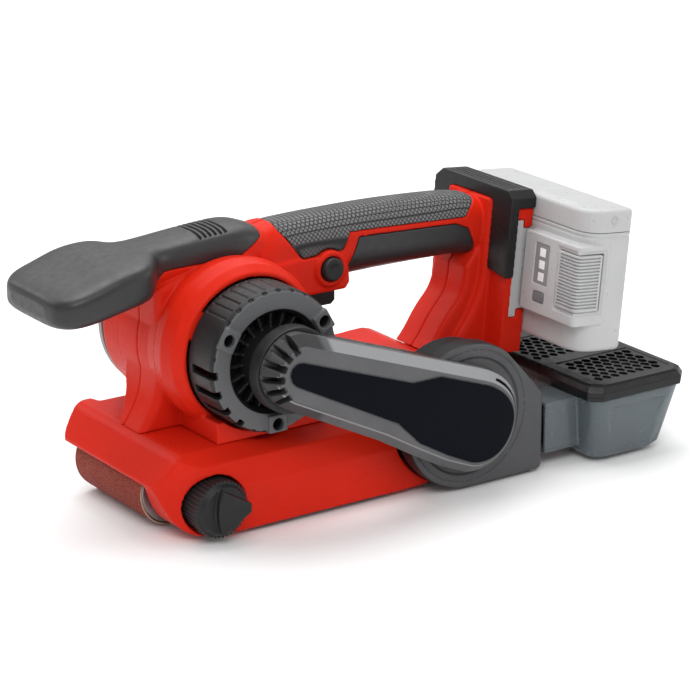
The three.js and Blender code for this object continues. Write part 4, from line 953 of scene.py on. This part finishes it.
def add_drive_cover():
    outline = cover_outline()
    shaped = prism("y", outline, COVER_FACE, -70, (6, 0), chamfer=True)
    outer = common(shaped, block((-100, 200), (-120, -92), (0, 200)))
    foot = common(prism("y", outline, -95, -90.3), rod(LAYSHAFT, 38, -96, -90.3))
    slots = [spoke((14.4, 25), (-106, -92.5), 1.9, a) for a in range(112, 232, 22)]
    seat = prism("y", grown(inlay_outline(), 0.5), COVER_FACE - 1, COVER_FACE + 0.35)
    cover = cut(join(outer, foot), prism("y", drive_loop(4.5), -101, -90), *slots, seat)
    piece("cover_shell", moulded(cover, 0.45, 3), "root", "cover", ["drive_cover"])

    back = common(prism("y", outline, -91.7, -84), block((-100, 62), (-100, 0), (0, 200)))
    back = cut(join(back, rod(MOTOR, 25, -91.7, -82.3)), rod(LAYSHAFT, FAN_COVER_R + 1, -100, -80),
               rod(MOTOR, 8, -100, -80))
    piece("cover_back", moulded(back, 0.5, 3), "root", "dark", ["drive_cover_back"])
    inlay = prism("y", inlay_outline(), COVER_FACE - 1.1, COVER_FACE - GAP, (0.4, 0))
    piece("cover_inlay", inlay, "root", "plate", ["drive_cover_inlay"], crisp=0.1)


def fan_outline(radius):
    rear, base = LAYSHAFT[0] + radius + 10.5, LAYSHAFT[1] - radius
    return path((LAYSHAFT[0], base), (rear - 4, base), ("q", rear, base, rear, base + 4),
                (rear, LAYSHAFT[1] + 4),
                ("arc", LAYSHAFT[0], LAYSHAFT[1], radius, math.radians(50), 1.5 * PI))


def add_fan():
    inside = FAN_COVER_R - 6
    outlet = block((136, 157), (-77.4, -62.6), (11.8, 38.4))
    bore = block((130, 158), (-75.2, -65), (13.8, 36.4))
    shell = join(prism("y", fan_outline(FAN_COVER_R - 3), -77.7, -62), outlet)
    shell = cut(shell, prism("y", fan_outline(inside), -79, -65), bore, rod(LAYSHAFT, 9, -70, -61),
                rod((114, 24), 7, -70, -61))
    piece("fan_scroll", moulded(shell, 0.5, 3), "root", "dark", ["fan_housing"])

    cover = cut(prism("y", fan_outline(FAN_COVER_R), -90, -60, (2, 0)),
                block((0, 200), (-78, -50), (-10, 120)), prism("y", fan_outline(inside + 3), -87, -70),
                lathe(LAYSHAFT, [(0, -91), (37, -91), (35, -88.6), (0, -88.6)]), rod(LAYSHAFT, 5, -92, -80),
                tube(LAYSHAFT, 39.6, 40.6, -91, -89.2, 160))
    piece("fan_lid", moulded(cover, 0.45, 3), "root", "fan", ["fan_cover"])


# ---------------------------------------------------------------- dust box

def tapered(sections, corner, steps=8):
    """A box whose walls lean: its sections are (z, x range, y range)."""
    made = []
    for z, (x0, x1), (y0, y1) in sections:
        points = rounded([(x0, y0), (x1, y0), (x1, y1), (x0, y1)], corner, steps)
        made.append([(x, y, z) for x, y in points])
    return rings(made)


def lid_slot(cx, cy, top):
    """A long six-sided slot in the lid."""
    tip, side, half = 3.7, 1.7, 2.5
    cell = [(cx, cy - tip), (cx + half, cy - side), (cx + half, cy + side), (cx, cy + tip),
            (cx - half, cy + side), (cx - half, cy - side)]
    return prism("z", rounded(cell, 0.8, 2), 47, top + 1)


def add_dust_box():
    front, rear, near, far = 172, BOX_HIGH.x, BOX_LOW.y, BOX_HIGH.y
    floor, rim = BOX_LOW.z, BOX_HIGH.z

    def section(z, inset):
        drop = min(1, (rim - z) / (rim - floor))
        lean = 2.5 * drop + inset
        return z, (front + lean, rear - lean - 11 * drop), (near + lean, far - lean)
    outer = tapered([section(floor, 2), section(floor + 3, 0), section(rim, 0)], 11)
    inner = tapered([section(floor + 2.4, 3.5), section(rim + 1, 2.3)], 9)
    sleeve = cut(block((148, 178), (-86, -60), (9, rim)), inner)
    panel = prism("y", rounded([(front + 14, 12), (rear - 24, 12), (rear - 14, 35), (front + 12, 35)], 4),
                  near - 2, near + 1.9)
    box = cut(join(outer, sleeve), inner, block((147, 182), (-83.8, -62.2), (11.4, 38.8)), panel)
    piece("dust_bin", moulded(box, 0.6, 4), "dust_box_body", "smoke", ["dust_box"])

    x, y, top = (LID_LOW.x, LID_HIGH.x), (LID_LOW.y, LID_HIGH.y), LID_HIGH.z

    def lid_section(z, inset):
        return z, (x[0] + inset, x[1] - inset), (y[0] + inset, y[1] - inset)
    lid = tapered([lid_section(41.5, 0.4), lid_section(46.5, 0), lid_section(top - 1, 1.8),
                   lid_section(top, 3.4)], 7, 1)
    under = tapered([lid_section(41, 2), lid_section(41.3, 2), lid_section(48.6, 4.5)], 6.5, 1)
    slots, sunk = [], []
    column_pitch, row_pitch = 6.4, 6.3
    fields = ((x[0] + 12, y[0] + 12, y[0] + 51), (x[0] + 6, y[0] + 64, y[0] + 103))
    for left, start, end in fields:
        sunk.append(block((left - 1, x[1] - 7), (start - 1, end + 1), (top - 0.8, top + 1), 0.8))
        for row in range(6):
            shift = column_pitch / 2 if row % 2 else 0
            for cx in [left + 3.6 + column * column_pitch + shift for column in range(10)]:
                if cx < x[1] - 11:
                    slots.append(lid_slot(cx, start + 3.6 + row * row_pitch, top))
    piece("bin_lid", moulded(cut(lid, under, merged(slots), *sunk), 0.4, 2), "lid", "lid",
          ["dust_box_lid"])
    keep_node("dust_filter", "felt")


# ---------------------------------------------------------------- knob, switch gear, dock and battery

def add_knob():
    x, z = KNOB
    r = (high("tracking_knob").x - low("tracking_knob").x) / 2
    corners, rib_height = 4 * 40, 0.9
    side = []
    for i in range(corners):
        out, a = r - rib_height * (i % 4 in (2, 3)), 2 * PI * i / corners
        side.append((x + out * math.cos(a), z + out * math.sin(a)))
    barrel = prism("y", side, KNOB_FACE + 7, KNOB_BACK)
    crown = lathe(KNOB, [(0, KNOB_FACE + 4), (r - 3.4, KNOB_FACE + 4.4), (r - 1.2, KNOB_FACE + 7.4),
                         (0, KNOB_FACE + 7.4)])
    grip = path((x - 3, z + 13.6), (x + 15.6, z + 2.6), (x + 15.6, z - 2.6), (x - 3, z - 13.6),
                ("q", x - 9, z, x - 3, z + 13.6))
    face = prism("y", grip, KNOB_FACE, KNOB_FACE + 6, (1.6, 0))
    socket = rod(KNOB, 4.1, KNOB_BACK - 9, KNOB_BACK + 1, 48)
    dial = cut(join(barrel, crown, face), socket)
    piece("tracking_dial", moulded(dial, 0.4, 3), "knob", "dark", ["tracking_knob"])


def add_switches():
    piece("trigger_paddle", node_mesh("trigger"), "trigger_body", "dark", ["trigger"],
          crisp=0.2)
    face, end = low("lock_on_button").y, high("lock_on_button").y
    dish = lathe(LOCK, [(0, face + 0.9), (3.5, face + 0.6), (5.4, face), (6.4, face + 0.3), (7, face + 1.2),
                        (7, end), (0, end)], 96)
    piece("lock_plunger", dish, "lock_button", "dark", ["lock_on_button"])


def add_dock():
    left, right = DOCK_NEAR - 1.5, DOCK_FAR + 1.5
    crown = path((left, 76.3), (left, 83), (left + 4.5, 87), (right - 7, 87), (right, 81.5), (right, 76.3))
    top = leaning(prism("x", crown, -14.5, 4.5, 0.8))
    front = leaning(block((-14.5, -12.3), (left, right), (58, 78)))

    def wing(inner, edge, side):
        face = leaning(prism("x", path((inner, 36.5), (edge, 33.5), (edge, 60), (inner, 60)), -14.5, -12.3))
        return join(face, leaning(block((-14.5, -7.9), side, (33.5, 78))))
    ridges = [leaning(block((x, x + 1.7), (left + 9, right - 11), (85.9, 88))) for x in (-11, -7, -3, 1)]
    line = path((left + 4, 60), (left + 13, 63.5), (left + 13, 64.5), (left + 4, 61))
    mark = leaning(prism("x", line, -15, -13.8))
    wings = [wing(20, right, (DOCK_FAR + GAP, right)), wing(-20, left, (left, DOCK_NEAR - GAP))]
    bumper = cut(join(top, front, *wings), rear_shoulder(SHOULDER_HALF + GAP), bar(-GAP, 0, 154), *ridges,
                 mark)
    piece("dock_pad", moulded(bumper, 0.5, 4), "root", "dark", ["dock_bumper"])
    piece("terminals", moulded(node_mesh("terminal_block"), 0.4, 3), "root", "dark",
          ["terminal_block"])


def pack_plan(inset=0.0):
    near, far = PACK["near"] + inset, PACK["far"] - inset
    front, rear = PACK["front"] + inset, PACK["rear"] - inset
    return path((front, far - 2), (front, near + 14), ("q", front + 1, near + 1, front + 14, near),
                (rear - 6, near), ("q", rear, near, rear, near + 6), (rear, far - 2),
                ("q", rear, far, rear - 2, far), (front + 2, far), ("q", front, far, front, far - 2))


def pack_solid(inset=0.0):
    return prism("z", pack_plan(inset), PACK["low"] + inset, PACK["high"] - inset, 0 if inset else 2.5)


def cornered(box, edge=0.0, inset=0.0):
    """A block with its upright near front corner rounded."""
    front, rear, near, far = box["front"] + inset, box["rear"], box["near"] + inset, box["far"]
    plan = path((front, far), (front, near + 4), ("q", front, near, front + 4, near), (rear, near),
                (rear, far))
    return prism("z", plan, box["low"] + inset, box["high"] - inset, edge)


def room(box, front, depth):
    """The room that a piece set into the panel's face takes up."""
    return block((front, depth), (box["near"] - GAP, box["far"] + GAP), (box["low"] - GAP, box["high"] + GAP))


def add_battery():
    hollow = pack_solid(WALL)
    wide = (-120, 60)
    face = PANEL["front"]
    below = common(pack_solid(), block((-20, 60), wide, (-20, PACK_SEAM)))
    flange = block((-7.1, -1.9), (-38, PACK["far"]), (8.4, 68.6))
    neck = block((-2.5, PACK["front"] + 1), (-38, PACK["far"]), (13.4, 63.6))
    inside = block((face + WALL, PANEL["rear"] - WALL), (PANEL["near"] + WALL, PANEL["far"] - 3),
                   (PANEL["low"] + WALL, PANEL["high"] - WALL))
    window = [block((-5, face + 1), (-100, -71.5), (21.5, 61)),
              block((-5, 20.5), (-100, PANEL["near"] + 1), (21.5, 61))]
    hole = block((-5, RELEASE["rear"] + 2.3), (-100, RELEASE["far"] + GAP),
                 (RELEASE["low"] - GAP, RELEASE["high"] + GAP))
    band = cut(prism("z", grown(pack_plan(), 0.8), PACK_SEAM - 3.2, PACK_SEAM - 1.8),
               prism("z", grown(pack_plan(), -0.7), 60, 80))
    shell = cut(join(below, cornered(PANEL, 0.8)), hollow, inside, *window, hole,
                room(LIGHTS, -5, face + 1.3), room(CHARGE_BUTTON, -5, 4), band)
    shell = join(shell, flange, neck)
    piece("pack_shell", leaning(moulded(shell, 0.5, 3)), "battery", "frost", ["battery_shell"])
    over = (PACK["high"] - 0.8, PACK["high"] + 0.6)
    raised = [block((10, 34), (y, y + 16), over, 0.5) for y in (-72, -50, -28)]
    cap = cut(common(pack_solid(), block((-20, 60), wide, (PACK_SEAM + GAP, 120))), pack_solid(WALL))
    eye = rod((24, 78.5), 2.6, PACK["near"] - 1, PACK["near"] + 1.2, 32)
    pupil = rod((24, 78.5), 1.2, PACK["near"] + 0.2, PACK["near"] + 2.4, 32)
    cap = join(cut(join(cap, *raised), eye), pupil)
    piece("pack_cap", leaning(moulded(cap, 0.5, 3)), "battery", "frost", ["battery_end_cap"])

    body = cut(cornered(RELEASE, 0.8),
               block((RELEASE["front"] + 3.3, 40), (RELEASE["near"] + 3.3, -60), (0, 80)))
    grooves = []
    for z in [26.2 + 2.0 * i for i in range(16)]:
        grooves.append(cut(block((-6, 15), (-100, -75.2), (z, z + 0.95)), cornered(RELEASE, 0, 0.9)))
    piece("pack_button", leaning(cut(body, *grooves)), "battery_button", "rib",
          ["battery_release_button"], crisp=0.12)
    strip = block((face + 0.4, face + 1), (LIGHTS["near"], LIGHTS["far"]), (LIGHTS["low"], LIGHTS["high"]))
    half = LIGHTS["size"] / 2
    lenses = []
    for z in LIGHTS["heights"]:
        lenses.append(block((face, face + 0.8), (-58 - half, -58 + half), (z - half, z + half)))
    facing_out = Matrix.Rotation(DOCK_LEAN, 3, "Y")

    def on_lens(c, n):
        return (facing_out.transposed() @ (c - DOCK_AT)).x < face + 0.3
    piece("charge_lights", leaning(join(strip, *lenses)), "battery", "strip",
          ["charge_light_panel"], crisp=0.12, paint=[(on_lens, "lens")])
    press = block((face - 0.4, face + 1.9), (CHARGE_BUTTON["near"], CHARGE_BUTTON["far"]),
                  (CHARGE_BUTTON["low"], CHARGE_BUTTON["high"]), 0.6)
    piece("charge_check", leaning(press), "charge_button", "check", ["charge_check_button"],
          crisp=0.1)

    (x, z), cell_pitch = (23.3, 35), 19
    centre = Vector((x, 0, z))
    can = [(0, -33), (8.6, -33), (9.1, -32.4), (9.1, -31), (8.7, -30.6), (9.1, -30.2), (9.1, 32.4), (8.6, 33),
           (0, 33)]
    upright = Matrix.Translation(centre) @ Matrix.Rotation(PI / 2, 4, "X") @ Matrix.Translation(-centre)
    cells = []
    for i in range(5):
        place = Matrix.Translation((0, -70 + i * cell_pitch, 0)) @ upright
        cells.append(moved(lathe((x, z), can, 64), place))
    holder = block((15, 31), (-72, 8), (30, 40))
    piece("pack_cells", leaning(join(holder, *cells)), "battery", "cell", ["battery_cells"],
          crisp=0.2)


# ---------------------------------------------------------------- pieces kept from the frame

KEPT = {
    "steel": ["drive_roller_bearing", "roller_gear", "tension_spring", "platen_plate", "tracking_screw",
              "motor_shaft", "shaft_bearing_near", "shaft_bearing_far", "layshaft", "pinion",
              "layshaft_bearing", "motor_rotor"],
    "alloy": ["motor_pulley", "layshaft_pulley"],
    "copper": ["motor_stator"],
    "rubber": ["toothed_belt"],
    "felt": ["platen_pad"],
    "dark": ["cooling_fan", "dust_fan", "switch_module"],
    "board": ["controller_board"],
}
FINELY_CUT = ("gear", "pulley", "spring")


def add_kept():
    for look, names in KEPT.items():
        for name in names:
            fine = any(word in name for word in FINELY_CUT)
            keep_node(name, look, 0.15 if fine else 0.3)


# ---------------------------------------------------------------- floor, light and camera

def softbox(name, place, aim, size, power):
    light = bpy.data.lights.new(name, "AREA")
    light.shape, light.size, light.size_y, light.energy = "RECTANGLE", size[0], size[1], power
    obj = bpy.data.objects.new(name, light)
    obj.location = place
    obj.rotation_mode = "QUATERNION"
    obj.rotation_quaternion = (Vector(aim) - Vector(place)).to_track_quat("-Z", "Y")
    bpy.context.scene.collection.objects.link(obj)


def add_studio():
    mesh = bpy.data.meshes.new("floor")
    mesh.from_pydata([(-6, -6, 0), (6, -6, 0), (6, 6, 0), (-6, 6, 0)], [], [(0, 1, 2, 3)])
    floor = bpy.data.objects.new("floor", mesh)
    bpy.context.scene.collection.objects.link(floor)
    pale = Nodes("pale_floor")
    shade = pale.mixed(pale.noise(3), (0.95, 0.95, 0.95), (0.97, 0.97, 0.97))
    pale.link(shade, pale.shader.inputs["Base Color"])
    pale.shader.inputs["Roughness"].default_value = 0.7
    mesh.materials.append(pale.material)

    world = bpy.data.worlds.new("studio")
    world.use_nodes = True
    world.node_tree.nodes["Background"].inputs["Color"].default_value = (1, 1, 1, 1)
    world.node_tree.nodes["Background"].inputs["Strength"].default_value = 0.52
    bpy.context.scene.world = world
    aim = (0.05, 0, 0.07)
    softbox("key", (-0.55, -1.0, 1.15), aim, (0.9, 0.7), 8.5)
    softbox("fill", (1.2, -0.9, 0.6), aim, (0.9, 0.9), 3)
    softbox("top", (0.1, 0.3, 1.3), aim, (1.2, 0.8), 12)
    softbox("back", (-0.6, 1.1, 0.8), aim, (0.8, 0.6), 3)
    softbox("backdrop", (1.3, 2.0, 1.7), (1.4, 2.2, 0), (2.6, 2.6), 26)


def add_camera():
    azimuth, elevation, distance = math.radians(-34.49), math.radians(18.34), 1.6858
    target = Vector((0.0655, 0.0, 0.06656))
    back = Vector((math.sin(azimuth) * math.cos(elevation), -math.cos(azimuth) * math.cos(elevation),
                   math.sin(elevation)))
    data = bpy.data.cameras.new("camera")
    data.sensor_width, data.lens = 36, 144
    camera = bpy.data.objects.new("camera", data)
    camera.location = target + back * distance
    camera.rotation_mode = "QUATERNION"
    camera.rotation_quaternion = (-back).to_track_quat("-Z", "Y")
    bpy.context.scene.collection.objects.link(camera)
    bpy.context.scene.camera = camera


add_camera()
add_studio()
add_belt_unit()
add_base_frame()
add_housing()
add_handles()
add_motor_covers()
add_drive_cover()
add_fan()
add_dust_box()
add_knob()
add_switches()
add_dock()
add_battery()
add_kept()
bpy.context.scene.view_settings.view_transform = "Standard"
